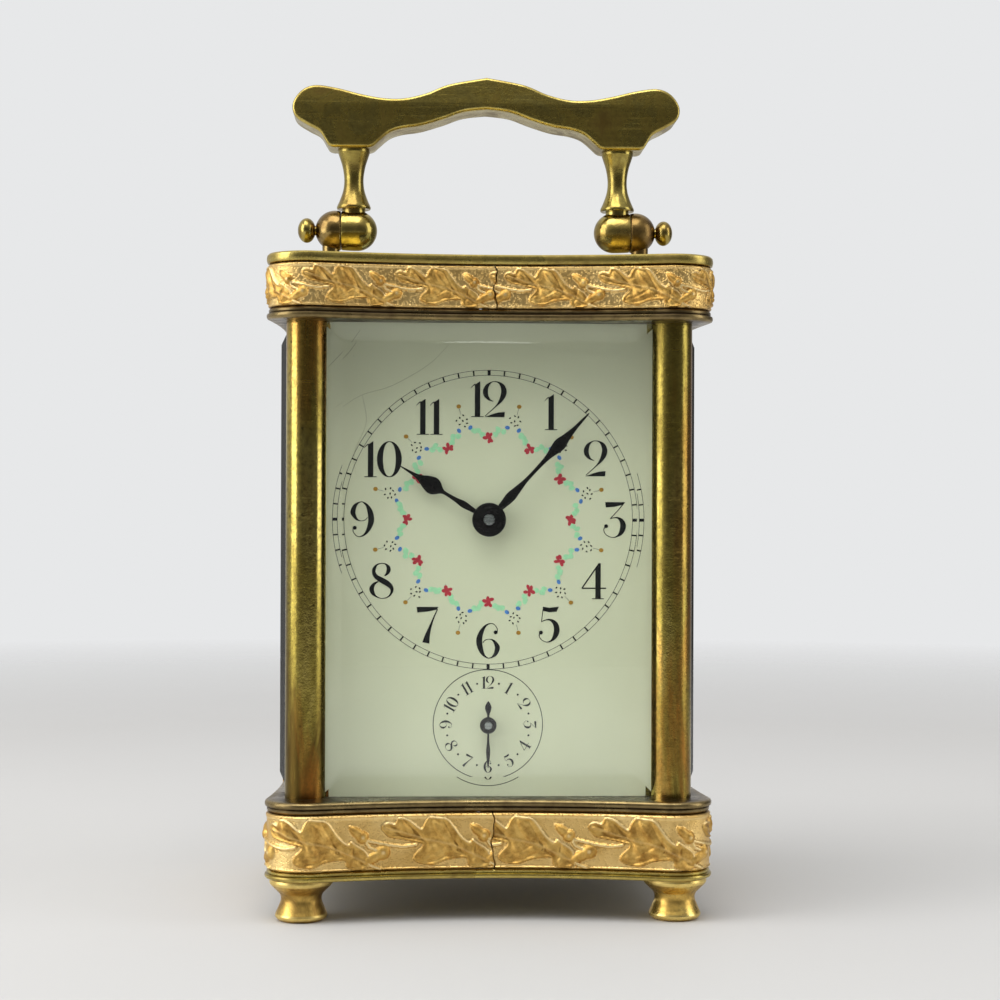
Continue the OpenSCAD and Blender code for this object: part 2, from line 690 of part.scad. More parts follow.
module hour_wheel() {
  color(PALE_BRASS) difference() {
    union() {
      gear(centre_xz, y_hour_wheel, hour_teeth, hour_m, hour_phase, 4);
      bar_y(centre_xz, -23.2, y_hour_wheel[1], 1.6);
    }
    bar_y(centre_xz, -24, y_hour_wheel[1] + 1, setting_r + run);
  }
}

module minute_wheel() {
  color(PALE_BRASS) {
    gear(minute_xz, y_minute_wheel, minute_teeth, cannon_m, minute_phase, 4, pivot_r + run);
    pinion(minute_xz, [-17.3, y_minute_wheel[0]], minute_pinion_teeth, hour_m, minute_pinion_phase,
      pivot_r + run);
  }
}

module alarm_idler() {
  color(PALE_BRASS) gear(idler_xz, y_hour_wheel, idler_teeth, hour_m, idler_phase, 6, idler_stud_r + run);
}

module alarm_wheel() {
  color(PALE_BRASS) gear(alarm_xz, y_hour_wheel, hour_teeth, hour_m, alarm_wheel_phase, 4,
    alarm_arbor_r + run);
}

module alarm_arbor() {
  color(STEEL) {
    bar_y(alarm_xz, -22.4, y_back_plate[1] + 0.4, alarm_arbor_r);
    bar_y(alarm_xz, -23.8, -22, 0.7);
    bar_y(alarm_xz, -15.6, -15, 3);
    square_y(alarm_xz, y_back_plate[1] + 0.4, y_squares - 1, 2.2);
  }
}

// ---- Going train ----

// A spring barrel: toothed drum with a cover, and the coiled mainspring inside.
module barrel(xz, teeth, phase, drum_r, y_end) {
  inner = [y_barrel_teeth[1], y_end - 1];
  color(PALE_BRASS) difference() {
    union() {
      translate([xz[0], 0, xz[1]]) between(y_barrel_teeth) rotate(phase)
        polygon(gear_points(teeth, barrel_m, 1.15));
      bar_y(xz, y_barrel_teeth[0], y_end, drum_r);
    }
    bar_y(xz, inner[0], inner[1], drum_r - 0.9);
    bar_y(xz, y_barrel_teeth[0] - 1, y_end + 1, winding_back_r + run);
  }
  color(BLUE_STEEL) for (r = [drum_r - 1.6:-1.1:drum_r - 4]) difference() {
    bar_y(xz, inner[0] + 0.5, inner[1] - 0.5, r);
    bar_y(xz, inner[0], inner[1], r - 0.6);
  }
}

// The arbor inside a barrel, with its winding square behind the back plate.
module winding_arbor(xz, y_end) {
  color(STEEL) {
    bar_y(xz, y_front_plate[0] + 0.2, y_barrel_teeth[0] - 0.3, winding_front_r);
    bar_y(xz, y_barrel_teeth[0] - 0.3, y_back_plate[1] + 0.4, winding_back_r);
    bar_y(xz, y_barrel_teeth[1] + 0.4, y_end - 1.4, 4);
    square_y(xz, y_back_plate[1] + 0.4, y_squares, 2.9);
  }
}

going_phase = direction(barrel_xz, second_xz);
second_pinion_phase = mesh_phase(direction(barrel_xz, second_xz), barrel_teeth, going_phase,
  second_pinion_teeth);
second_phase = direction(second_xz, centre_xz);
centre_pinion_phase = mesh_phase(direction(second_xz, centre_xz), second_teeth, second_phase,
  centre_pinion_teeth);
centre_phase = direction(centre_xz, third_xz);
third_pinion_phase = mesh_phase(direction(centre_xz, third_xz), centre_teeth, centre_phase,
  third_pinion_teeth);
third_phase = direction(third_xz, contrate_xz);
contrate_pinion_phase = mesh_phase(direction(third_xz, contrate_xz), third_teeth, third_phase,
  contrate_pinion_teeth);

going_drum_r = 14;
going_end_y = 6;
module going_barrel() { barrel(barrel_xz, barrel_teeth, going_phase, going_drum_r, going_end_y); }
module going_winding_arbor() { winding_arbor(barrel_xz, going_end_y); }

module second_wheel() {
  color(PALE_BRASS) gear(second_xz, y_second_wheel, second_teeth, second_m, second_phase);
  color(STEEL) {
    arbor(second_xz, 1);
    pinion(second_xz, [-10, -6.6], second_pinion_teeth, barrel_m, second_pinion_phase);
  }
}

// The centre wheel turns with a hollow arbor, so that the setting arbor passes through it.
module centre_wheel() {
  color(PALE_BRASS) difference() {
    union() {
      gear(centre_xz, y_centre_wheel, centre_teeth, centre_m, centre_phase);
      bar_y(centre_xz, y_front_plate[0] + 0.2, y_back_plate[1] - 0.2, centre_tube_r);
      pinion(centre_xz, [6.6, 9.4], centre_pinion_teeth, second_m, centre_pinion_phase);
    }
    bar_y(centre_xz, y_front_plate[0] - 1, y_back_plate[1] + 1, setting_r + run);
  }
}

module third_wheel() {
  color(PALE_BRASS) gear(third_xz, y_third_wheel, third_teeth, third_m, third_phase);
  color(STEEL) {
    arbor(third_xz, 0.7);
    pinion(third_xz, [2, 5], third_pinion_teeth, centre_m, third_pinion_phase);
  }
}

// The contrate wheel's teeth stand up from its rim, towards the back, and turn the upright escape pinion.
module contrate_wheel() {
  color(PALE_BRASS) translate([contrate_xz[0], 0, contrate_xz[1]]) difference() {
    union() {
      between(y_contrate_disc) difference() {
        circle(r = crown_r + 0.4);
        difference() {
          circle(r = crown_r - 1.2);
          circle(r = 2);
          for (i = [0:3]) rotate(90 * i + 45) translate([0, -0.5]) square([crown_r, 1]);
        }
      }
      between([y_contrate_disc[0], y_crown_tip]) difference() {
        circle(r = crown_r + 0.4);
        circle(r = crown_r - 0.4);
      }
    }
    for (i = [0:crown_teeth - 1]) rotate([0, -(360 * (i + 0.5) / crown_teeth + 90), 0])
      translate([crown_r - 1, y_crown_root, -crown_pitch * (1 - crown_share) / 2])
        cube([2, 2, crown_pitch * (1 - crown_share)]);
  }
  color(STEEL) {
    arbor(contrate_xz, 0.7);
    pinion(contrate_xz, [-4.5, -0.8], contrate_pinion_teeth, third_m, contrate_pinion_phase);
  }
}
crown_share = 0.34;

// ---- Platform escapement ----

// Platform plate with the potence below for the escape pinion's foot, and the bridge above for its top pivot.
module platform() {
  color(PALE_BRASS) difference() {
    union() {
      translate([-16, y_front_plate[0], platform_z])
        cube([32, y_back_plate[1] - y_front_plate[0], platform_t]);
      translate([-1.5, -3.2, 98.6]) cube([3, 1.6, platform_z - 98.6]);
      translate([-1.5, escape_y - 1.2, 98.6]) cube([3, -1.6 - escape_y + 1.2, 1]);
      upright(-6.5, -8.5, platform_z, 110.6, 1.4);
      translate([-6.5, -9.4, 109.6]) rotate([0, 0, 25]) cube([8.2, 1.8, 1]);
    }
    upright(0, escape_y, 98, 100, 0.3 + run);
    upright(0, escape_y, platform_z - 0.5, platform_z + 3, 1.7);
    upright(0, escape_y, 109, 111, 0.3 + run);
    upright(0, lever_y, platform_z + 0.7, platform_z + 2, 0.25 + run);
    upright(0, balance_y, platform_z + 0.7, platform_z + 2, 0.25 + run);
  }
}

module escape_wheel() {
  color(STEEL) translate([0, escape_y, 0]) {
    translate([0, 0, escape_wheel_z]) linear_extrude(0.5) difference() {
      rotate(escape_phase) polygon(saw_points(15, escape_tip_r, 2.5, 0.1, 0.05));
      for (i = [0:3]) rotate(90 * i + 20) translate([1.45, 0]) circle(r = 0.5);
    }
    upright(0, 0, 99.2, 110.2, 0.3);
    upright(0, 0, 100.2, 109.2, 0.45);
    translate([0, 0, 100.4]) linear_extrude(3.9) rotate(escape_pinion_phase)
      polygon([for (i = [0:escape_pinion_teeth - 1],
        p = [[0.45, -14], [escape_pinion_r, -11], [1.2, -5], [1.2, 5], [escape_pinion_r, 11], [0.45, 14]])
        let (a = 360 * i / escape_pinion_teeth + p[1]) p[0] * [cos(a), sin(a)]]);
  }
}
escape_phase = 0;
escape_pinion_phase = -90 + 30;

// The lever: two pallets that reach to the escape wheel, and a fork towards the balance.
module lever() {
  color(STEEL) translate([0, lever_y, escape_wheel_z]) difference() {
    union() {
      linear_extrude(0.5) {
        circle(r = 0.7);
        for (s = [-1, 1]) polygon([[s * 0.3, 0.5], [s * 0.3, -0.5], [s * 1.9, -1.2], [s * 2.3, -2.05],
                                   [s * 2.75, -1.85], [s * 2.5, -0.8]]);
        polygon([[-0.35, 0], [0.35, 0], [0.3, 3.3], [0.7, 4.2], [0.3, 4.3], [0, 3.8], [-0.3, 4.3],
          [-0.7, 4.2], [-0.3, 3.3]]);
      }
      translate([0, 0, -2.1]) cylinder(r = 0.25, h = 3.4);
    }
  }
}

module balance_wheel() {
  color(PALE_BRASS) translate([0, balance_y, 0]) {
    translate([0, 0, balance_z]) linear_extrude(0.8) {
      difference() {
        circle(r = balance_r);
        circle(r = balance_r - 0.8);
      }
      translate([-balance_r + 0.4, -0.4]) square([2 * balance_r - 0.8, 0.8]);
      circle(r = 1);
    }
    upright(0, 0, platform_z + 0.9, cock_z + 0.6, 0.25);
    upright(0, 0, 109.3, balance_z + 1, 0.5);
    upright(0, 0, 108.8, 109.3, 1.35);
    upright(0, -1.05, escape_wheel_z, 109, 0.2);
  }
}

// The hairspring: half turns of shrinking radius about two centres.
module half_turns(r_start, step, count, w, h) {
  for (i = [0:count - 1]) translate([(i % 2 == 0 ? step : -step) / 2, 0, 0])
    rotate([0, 0, i % 2 == 0 ? 0 : 180])
    rotate_extrude(angle = 180) translate([r_start - i * step - w / 2, 0]) square([w, h]);
}

module hairspring() {
  color(BLUE_STEEL) translate([0, balance_y, 111.35]) half_turns(3.4, 0.4, 7, 0.12, 0.3);
}

module balance_cock() {
  color(PALE_BRASS) difference() {
    union() {
      translate([8.2, 2.6, platform_z + platform_t]) cube([5, 5.2, cock_z + 1.2 - platform_z - platform_t]);
      translate([0, balance_y - 1.2, cock_z]) cube([9, 2.4, 1.2]);
      upright(0, balance_y, cock_z, cock_z + 1.2, 1.8);
    }
    upright(0, balance_y, cock_z - 1, cock_z + 0.8, 0.25 + run);
  }
}

// ---- Alarm ----

alarm_phase = direction(alarm_barrel_xz, alarm_escape_xz);
alarm_pinion_phase = mesh_phase(direction(alarm_barrel_xz, alarm_escape_xz), alarm_barrel_teeth, alarm_phase,
  alarm_pinion_teeth);
alarm_drum_r = 10.4;
alarm_end_y = 4;
module alarm_barrel() { barrel(alarm_barrel_xz, alarm_barrel_teeth, alarm_phase, alarm_drum_r, alarm_end_y); }
module alarm_winding_arbor() { winding_arbor(alarm_barrel_xz, alarm_end_y); }

module alarm_escape_wheel() {
  color(PALE_BRASS) translate([alarm_escape_xz[0], 0, alarm_escape_xz[1]]) between(y_alarm_escape)
    difference() {
    rotate(3) polygon(saw_points(18, alarm_escape_r, 4.8, 0.3, 0.08));
    for (i = [0:4]) rotate(72 * i) translate([2.9, 0]) circle(r = 1.1);
  }
  color(STEEL) {
    arbor(alarm_escape_xz, 0.9);
    pinion(alarm_escape_xz, [-10, -6.6], alarm_pinion_teeth, barrel_m, alarm_pinion_phase);
  }
}

// The hammer: an arbor with verge pallets between the plates, and an arm and head behind them.
module hammer() {
  arm = direction(hammer_xz, hammer_head_xz);
  reach = norm(hammer_head_xz - hammer_xz);
  color(STEEL) {
    bar_y(hammer_xz, y_front_plate[0] + 0.3, y_gong[1], pivot_r);
    bar_y(hammer_xz, y_alarm_escape[0] - 3, y_alarm_escape[1] + 2, 1);
    translate([hammer_xz[0], 0, hammer_xz[1]]) {
      between([y_alarm_escape[0] - 0.3, y_alarm_escape[1] + 0.3])
        for (s = [-1, 1]) polygon([[0, 0.6], [0, -0.6], [s * 3.6, -2.1], [s * 4.4, -1.5]]);
      between([y_gong[0] - 0.2, y_gong[1]]) rotate(arm) {
        circle(r = 1.3);
        translate([0, -0.5]) square([reach, 1]);
      }
    }
  }
  color(PALE_BRASS) bar_y(hammer_head_xz, y_gong[0] - 1.4, y_gong[1] + 1, 1.6);
}

// The gong: a flat coil of square wire, with a straight tail down to its block.
gong_z = 60;
gong_wire = 1.2;
gong_step = 1.1;
gong_r = 29.9;
module gong() {
  color(BLUE_STEEL) {
    translate([0, y_gong[1], gong_z]) rotate([90, 0, 0])
      half_turns(gong_r, gong_step, 5, gong_wire, y_gong[1] - y_gong[0]);
    translate([gong_r + gong_step / 2 - gong_wire / 2, y_gong[0], 40])
      cube([gong_wire, y_gong[1] - y_gong[0], gong_z - 40]);
  }
}

module gong_block() {
  tail_x = gong_r + gong_step / 2;
  color(PALE_BRASS) difference() {
    translate([25.5, y_back_plate[1], 36]) cube([6.2, 5, 6]);
    translate([tail_x - gong_wire / 2, y_gong[0], 40]) cube([gong_wire, y_gong[1] - y_gong[0], 3]);
  }
}

base_bottom_plate();
band(z_base_band, base_band_h);  // base_band
base_top_plate();
foot(-foot_x, -foot_y);  // foot_front_left
foot(foot_x, -foot_y);  // foot_front_right
foot(-foot_x, foot_y);  // foot_rear_left
foot(foot_x, foot_y);  // foot_rear_right
column(-column_x, -column_y);  // column_front_left
column(column_x, -column_y);  // column_front_right
column(-column_x, column_y);  // column_rear_left
column(column_x, column_y);  // column_rear_right
top_frame_plate();
band(z_top_band, top_band_h);  // top_band
top_plate();
top_glass();
front_glass();
side_glass(-1);  // left_glass
side_glass(1);  // right_glass
knuckle(-1);  // knuckle_left
knuckle(1);  // knuckle_right
case_screws();
front_movement_plate();
back_movement_plate();
movement_pillars();
movement_screws();
dial();
gong();
gong_block();
platform();
balance_cock();
handle_bar();
handle_leg(-1);  // handle_leg_left
handle_leg(1);  // handle_leg_right
pivot_screws();
door_frame();
door_glass();
door_knob();
minute_hand();
setting_arbor();
hour_hand();
hour_wheel();
minute_wheel();
going_barrel();
going_winding_arbor();
second_wheel();
centre_wheel();
third_wheel();
contrate_wheel();
escape_wheel();
lever();
balance_wheel();
hairspring();
alarm_hand();
alarm_arbor();
alarm_wheel();
alarm_idler();
alarm_barrel();
alarm_winding_arbor();
alarm_escape_wheel();
hammer();
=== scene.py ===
"""Looks of a brass carriage clock with alarm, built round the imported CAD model.

Blender works in metres. Shapes here are written in millimetres and scaled once, in piece().
+Z is up, the dial faces -Y.
"""

import math
import random

import bmesh
import bpy
import numpy as np
from mathutils import Matrix, Vector
from mathutils.geometry import tessellate_polygon


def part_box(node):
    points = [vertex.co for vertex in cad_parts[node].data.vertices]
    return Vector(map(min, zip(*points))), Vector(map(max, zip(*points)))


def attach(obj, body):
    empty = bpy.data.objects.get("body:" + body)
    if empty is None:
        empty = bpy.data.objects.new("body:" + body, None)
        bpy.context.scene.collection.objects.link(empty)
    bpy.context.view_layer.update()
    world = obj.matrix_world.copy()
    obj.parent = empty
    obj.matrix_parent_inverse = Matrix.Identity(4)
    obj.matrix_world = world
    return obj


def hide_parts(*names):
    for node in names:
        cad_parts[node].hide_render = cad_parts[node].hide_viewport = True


MM = 0.001

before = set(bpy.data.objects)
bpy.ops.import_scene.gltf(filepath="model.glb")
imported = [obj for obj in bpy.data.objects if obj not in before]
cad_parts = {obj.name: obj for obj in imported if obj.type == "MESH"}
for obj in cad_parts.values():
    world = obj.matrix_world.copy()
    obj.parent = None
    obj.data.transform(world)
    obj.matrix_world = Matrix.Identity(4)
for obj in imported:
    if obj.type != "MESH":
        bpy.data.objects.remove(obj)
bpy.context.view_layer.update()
rng = random.Random(7)


def box_mm(node):
    """Lowest and highest corner of a CAD node, in millimetres."""
    lo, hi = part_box(node)
    return np.array(lo) / MM, np.array(hi) / MM


# ---- outlines and curves


def catmull(points, steps, closed=False):
    """A smooth curve through points of any dimension, with so many steps between neighbours."""
    p = np.array(points, float)
    count = len(p) if closed else len(p) - 1
    out = []
    for i in range(count):
        if closed:
            a, b, c, d = (p[(i + k) % len(p)] for k in (-1, 0, 1, 2))
        else:
            a, b, c, d = (p[min(max(i + k, 0), len(p) - 1)] for k in (-1, 0, 1, 2))
        for k in range(steps):
            t = k / steps
            square = 2 * a - 5 * b + 4 * c - d
            cube = 3 * b - a - 3 * c + d
            out.append(0.5 * (2 * b + (c - a) * t + square * t * t + cube * t**3))
    if not closed:
        out.append(p[-1])
    return np.array(out)


def evenly(loop, gap):
    """The closed loop with its points spread evenly, about gap apart."""
    ring = np.r_[loop, loop[:1]]
    way = np.r_[0, np.cumsum(np.linalg.norm(np.diff(ring, axis=0), axis=1))]
    marks = np.linspace(0, way[-1], round(way[-1] / gap), endpoint=False)
    return np.stack([np.interp(marks, way, ring[:, 0]), np.interp(marks, way, ring[:, 1])], 1)


def normals_of(points, closed):
    """Unit normals of a flat curve, on its right-hand side."""
    if closed:
        along = np.roll(points, -1, 0) - np.roll(points, 1, 0)
    else:
        along = np.gradient(points, axis=0)
    along /= np.linalg.norm(along, axis=1)[:, None]
    return np.stack([along[:, 1], -along[:, 0]], 1)


# Radius of the plates' round corners, and how far the arcs between them bow inwards.
CORNER_R = 8
FRONT_SAG = 4.6
SIDE_SAG = 1.8


def case_outline(count):
    """The plates' outline as evenly spaced points, their outward normals and their arc lengths.

    Round corners are joined by shallow inward arcs. It starts at the middle of the front and runs
    to the right-hand corner first.
    """
    cx, cy = box_mm("top_plate")[1][:2] - CORNER_R
    front_r = (cx * cx + FRONT_SAG**2) / (2 * FRONT_SAG)
    side_r = (cy * cy + SIDE_SAG**2) / (2 * SIDE_SAG)
    front_a, side_a = math.asin(cx / front_r), math.asin(cy / side_r)
    t = np.linspace(0, front_a, 200)
    front_c = -(cy + front_r - FRONT_SAG)
    front = np.stack([np.sin(t), np.cos(t)], 1) * (front_r - CORNER_R) + [0, front_c]
    t = np.linspace(math.pi * 1.5 - front_a, 2 * math.pi + side_a, 200)
    corner = np.stack([np.cos(t), np.sin(t)], 1) * CORNER_R + [cx, -cy]
    t = np.linspace(-side_a, 0, 100)
    side_c = cx + side_r - SIDE_SAG
    side = np.stack([-np.cos(t), np.sin(t)], 1) * (side_r - CORNER_R) + [side_c, 0]
    quarter = np.concatenate([front, corner[1:], side[1:]])
    half = np.concatenate([quarter, quarter[-2::-1] * [1, -1]])
    loop = np.concatenate([half, half[-2::-1] * [-1, 1]])
    length = np.r_[0, np.cumsum(np.linalg.norm(np.diff(loop, axis=0), axis=1))]
    s = np.linspace(0, length[-1], count, endpoint=False)
    points = np.stack([np.interp(s, length, loop[:, k]) for k in (0, 1)], 1)
    return points, normals_of(points, True), s, length[-1]


# ---- mesh building


def piece(name, points, faces, material, body, replaces=(), values=None, crease=35):
    """A closed mesh piece from points in millimetres, riding on a CAD body."""
    mesh = bpy.data.meshes.new(name)
    mesh.from_pydata((np.array(points, float) * MM).tolist(), [], faces)
    for key, numbers in (values or {}).items():
        layer = mesh.attributes.new(key, "FLOAT", "POINT")
        layer.data.foreach_set("value", np.array(numbers, np.float32))
    work = bmesh.new()
    work.from_mesh(mesh)
    bmesh.ops.recalc_face_normals(work, faces=work.faces)
    work.to_mesh(mesh)
    work.free()
    mesh.polygons.foreach_set("use_smooth", [True] * len(mesh.polygons))
    mesh.set_sharp_from_angle(angle=math.radians(crease))
    mesh.materials.append(material)
    made = bpy.data.objects.new(name, mesh)
    bpy.context.scene.collection.objects.link(made)
    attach(made, body)
    if replaces:
        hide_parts(*replaces)
    return made


def grid_faces(rows, columns, wrap_rows=False, wrap_columns=False):
    """Quads over rows of points that are numbered row by row."""
    faces = []
    for i in range(rows if wrap_rows else rows - 1):
        a, b = i * columns, (i + 1) % rows * columns
        for j in range(columns if wrap_columns else columns - 1):
            k = (j + 1) % columns
            faces.append((a + j, a + k, b + k, b + j))
    return faces


def lathe(profile, origin, axis="Z", turns=72):
    """Points and faces of a solid turned about an axis. profile is (radius, height), end to end."""
    points, faces, rings = [], [], []
    for radius, height in profile:
        start = len(points)
        if radius < 1e-6:
            points.append((0, 0, height))
            rings.append([start] * turns)
        else:
            for k in range(turns):
                a = 2 * math.pi * k / turns
                points.append((radius * math.cos(a), radius * math.sin(a), height))
            rings.append(list(range(start, start + turns)))
    for low, high in zip(rings, rings[1:]):
        for k in range(turns):
            m = (k + 1) % turns
            corners = [low[k], low[m], high[m], high[k]]
            faces.append(tuple(dict.fromkeys(corners)))
    for ring, radius in ((rings[0], profile[0][0]), (rings[-1], profile[-1][0])):
        if radius >= 1e-6:
            faces.append(tuple(ring))
    p = np.array(points)
    if axis == "X":
        p = p[:, [2, 0, 1]]
    elif axis == "-X":
        p = p[:, [2, 0, 1]] * [-1, 1, 1]
    elif axis == "-Y":
        p = p[:, [0, 2, 1]] * [1, -1, 1]
    elif axis == "Y":
        p = p[:, [0, 2, 1]]
    return p + np.array(origin), faces


def merge(*parts):
    """Several (points, faces) as one."""
    points, faces = [], []
    for p, f in parts:
        faces += [tuple(i + len(points) for i in face) for face in f]
        points += np.array(p).tolist()
    return points, faces


# ---- node helpers


class Nodes:
    """Short calls that fill a node tree."""

    def __init__(self, tree):
        self.tree = tree

    def fill(self, socket, value):
        """Links a socket to another, or sets it. A colour is given without its alpha."""
        if isinstance(value, bpy.types.NodeSocket):
            self.tree.links.new(value, socket)
        elif socket.type == "RGBA":
            socket.default_value = (*value, 1)
        else:
            socket.default_value = value

    def node(self, kind, inputs=None, **settings):
        made = self.tree.nodes.new(kind)
        for key, value in settings.items():
            setattr(made, key, value)
        for key, value in (inputs or {}).items():
            self.fill(made.inputs[key], value)
        return made

    def maths(self, how, a, b=0.0):
        return self.node("ShaderNodeMath", {0: a, 1: b}, operation=how).outputs[0]


class Shader(Nodes):
    """A material's nodes. Textures read object coordinates, in metres."""

    def __init__(self, name):
        self.material = bpy.data.materials.new(name)
        self.material.use_nodes = True
        super().__init__(self.material.node_tree)
        self.bsdf = self.tree.nodes["Principled BSDF"]
        self.place = self.node("ShaderNodeTexCoord").outputs["Object"]

    def stretched(self, scale):
        return self.node("ShaderNodeMapping", {"Vector": self.place, "Scale": scale}).outputs[0]

    def noise(self, scale, detail=4, rough=0.6, place=None, distortion=0.0):
        inputs = {"Vector": place or self.place, "Scale": scale, "Detail": detail}
        inputs |= {"Roughness": rough, "Distortion": distortion}
        return self.node("ShaderNodeTexNoise", inputs).outputs["Fac"]

    def cells(self, scale):
        return self.node("ShaderNodeTexVoronoi", {"Vector": self.place, "Scale": scale}).outputs["Distance"]

    def ramp(self, value, stops):
        """A number turned into a number or a colour by (position, value) stops."""
        made = self.node("ShaderNodeValToRGB", {"Fac": value})
        marks = made.color_ramp.elements
        while len(marks) < len(stops):
            marks.new(0.5)
        for mark, (position, colour) in zip(marks, stops):
            mark.position = position
            mark.color = (colour,) * 3 + (1,) if np.isscalar(colour) else (*colour, 1)
        return made.outputs["Color"]

    def mix(self, amount, a, b):
        """Between two colours, or two numbers as greys."""
        pair = {key: (c,) * 3 if isinstance(c, float) else c for key, c in ((6, a), (7, b))}
        return self.node("ShaderNodeMix", {0: amount, **pair}, data_type="RGBA").outputs[2]

    def attribute(self, name):
        return self.node("ShaderNodeAttribute", attribute_name=name).outputs["Fac"]

    def bump(self, height, distance, strength):
        inputs = {"Height": height, "Distance": distance, "Strength": strength}
        return self.node("ShaderNodeBump", inputs).outputs["Normal"]

    def set(self, **inputs):
        for key, value in inputs.items():
            self.fill(self.bsdf.inputs[key.replace("_", " ")], value)
        return self.material

    def see_through(self, share, colour=(1, 1, 1)):
        """Lets a share of the light straight through the surface."""
        clear = self.node("ShaderNodeBsdfTransparent", {"Color": colour})
        both = self.node("ShaderNodeMixShader", {0: share, 1: self.bsdf.outputs[0], 2: clear.outputs[0]})
        self.fill(self.tree.nodes["Material Output"].inputs["Surface"], both.outputs[0])
        return self.material


def srgb(r, g, b):
    """A colour from 0-255 display values, as linear light."""
    return tuple(((c / 255 + 0.055) / 1.055) ** 2.4 if c > 10 else c / 3295 for c in (r, g, b))


# ---- materials


def aged_metal(name, tones, rough, streak=(1, 1, 1), spots=0.35, stain=None):
    """Tarnished brass: cloudy patches, stains, pits, and edges rubbed bright.

    tones are the dark, middle, bright and rubbed display colours, and stain is one more.
    """
    s = Shader(name)
    dark, middle, bright, worn = (srgb(*tone) for tone in tones)
    place = s.stretched(streak)
    clouds = s.noise(110, 8, 0.66, place, 0.8)
    colour = s.ramp(clouds, [(0.36, dark), (0.5, middle), (0.62, bright)])
    if stain:
        patches = s.ramp(s.noise(75, 5, 0.6, place, 0.4), [(0.52, 0.0), (0.64, 0.8)])
        colour = s.mix(patches, colour, srgb(*stain))
    fine = s.noise(1100, 4, 0.75)
    colour = s.mix(s.ramp(fine, [(0.42, 0.0), (0.7, 0.6)]), colour, dark)
    pits = s.ramp(s.cells(420), [(0.06, 1.0), (0.16, 0.0)])
    where = s.ramp(s.noise(160, 2), [(0.5, 0.0), (0.6, spots)])
    colour = s.mix(s.maths("MULTIPLY", pits, where), colour, tuple(c * 0.3 for c in dark))
    patchy = s.ramp(s.noise(500), [(0.3, 0.5), (0.6, 1.0)])
    colour = s.mix(s.maths("MULTIPLY", s.attribute("wear"), patchy), colour, worn)
    scratches = s.noise(60, 2, 0.5, s.stretched((1, 30, 30)))
    roughness = s.mix(s.ramp(clouds, [(0.38, 0.0), (0.6, 1.0)]), rough + 0.12, rough - 0.06)
    roughness = s.mix(s.ramp(scratches, [(0.55, 0.0), (0.7, 0.4)]), roughness, rough + 0.16)
    height = s.mix(0.5, s.noise(2600, 2), s.noise(380, 3))
    s.set(Base_Color=colour, Metallic=1.0, Roughness=roughness)
    return s.set(Normal=s.bump(height, 0.00009, 0.45))


def gilt_metal():
    """Gilding: burnished and stippled on the ground, matt and redder on the leaves, with painted shade in the
    hollows and painted highlights on raised edges.
    """
    s = Shader("gilt")
    leaf = s.attribute("leaf")
    clouds = s.noise(120, 5, 0.6)
    gold = [(0.3, srgb(212, 172, 98)), (0.55, srgb(236, 200, 128)), (0.75, srgb(248, 220, 154))]
    ground = s.ramp(clouds, gold)
    red_gold = [(0.34, srgb(164, 122, 58)), (0.5, srgb(206, 164, 86)), (0.64, srgb(224, 186, 106))]
    leaves = s.ramp(s.noise(420, 6, 0.7), red_gold)
    colour = s.mix(leaf, ground, leaves)
    # Painted shade: dark brown where the relief meets the ground and along the band's edges.
    colour = s.mix(s.maths("MULTIPLY", s.attribute("hollow"), 0.75), colour, srgb(112, 74, 28))
    grains = s.ramp(s.cells(2300), [(0.1, 0.0), (0.5, 1.0)])
    off_leaf = s.ramp(leaf, [(0.2, 1.0), (0.6, 0.25)])
    punched = s.maths("MULTIPLY", s.ramp(grains, [(0.0, 0.5), (0.25, 0.0)]), off_leaf)
    colour = s.mix(punched, colour, srgb(150, 104, 44))
    worn = s.ramp(s.noise(320, 4, 0.7), [(0.62, 0.0), (0.74, 0.5)])
    colour = s.mix(worn, colour, srgb(176, 150, 92))
    # Painted highlight: pale gold on the leaf edges that face one way, twig crests, acorn cups and the top
    # border.
    colour = s.mix(s.maths("MULTIPLY", s.attribute("rim"), 0.85), colour, srgb(255, 232, 172))
    roughness = s.mix(leaf, 0.38, 0.46)
    height = s.mix(leaf, grains, s.noise(3200, 3, 0.7))
    s.set(Base_Color=colour, Metallic=1.0, Roughness=roughness)
    return s.set(Normal=s.bump(height, 0.00009, 0.7))


def enamel():
    """Vitreous enamel: a soft greenish cream with faint clouds, dust specks and a glossy skin."""
    s = Shader("enamel")
    clouds = s.noise(28, 4, 0.55)
    colour = s.ramp(clouds, [(0.3, srgb(233, 229, 200)), (0.7, srgb(241, 236, 209))])
    specks = s.ramp(s.cells(330), [(0.02, 0.35), (0.05, 0.0)])
    colour = s.mix(specks, colour, srgb(120, 110, 84))
    s.set(Base_Color=colour, Roughness=s.mix(clouds, 0.2, 0.3), IOR=1.5)
    return s.set(Normal=s.bump(s.noise(55, 2), 0.00012, 0.3))


def paint(name, colour, rough=0.4, uneven=0.35):
    """Fired enamel paint with a slightly uneven, hand-laid colour."""
    s = Shader(name)
    thin = tuple(min(1, c * (1 + uneven) + 0.02 * uneven) for c in colour)
    shade = s.mix(s.ramp(s.noise(1500, 3, 0.7), [(0.35, 0.0), (0.7, 1.0)]), colour, thin)
    return s.set(Base_Color=shade, Roughness=rough)


def dark_steel(name, colour, rough, sheen_colour):
    """Blackened or heat-blued steel with a faint change of tone."""
    s = Shader(name)
    tone = s.ramp(s.noise(160, 4), [(0.35, colour), (0.7, sheen_colour)])
    grey = s.ramp(s.noise(1700, 2), [(0.3, rough - 0.06), (0.7, rough + 0.08)])
    s.set(Base_Color=tone, Metallic=0.85, Roughness=grey)
    return s.set(Normal=s.bump(s.noise(3000, 2), 0.00003, 0.4))


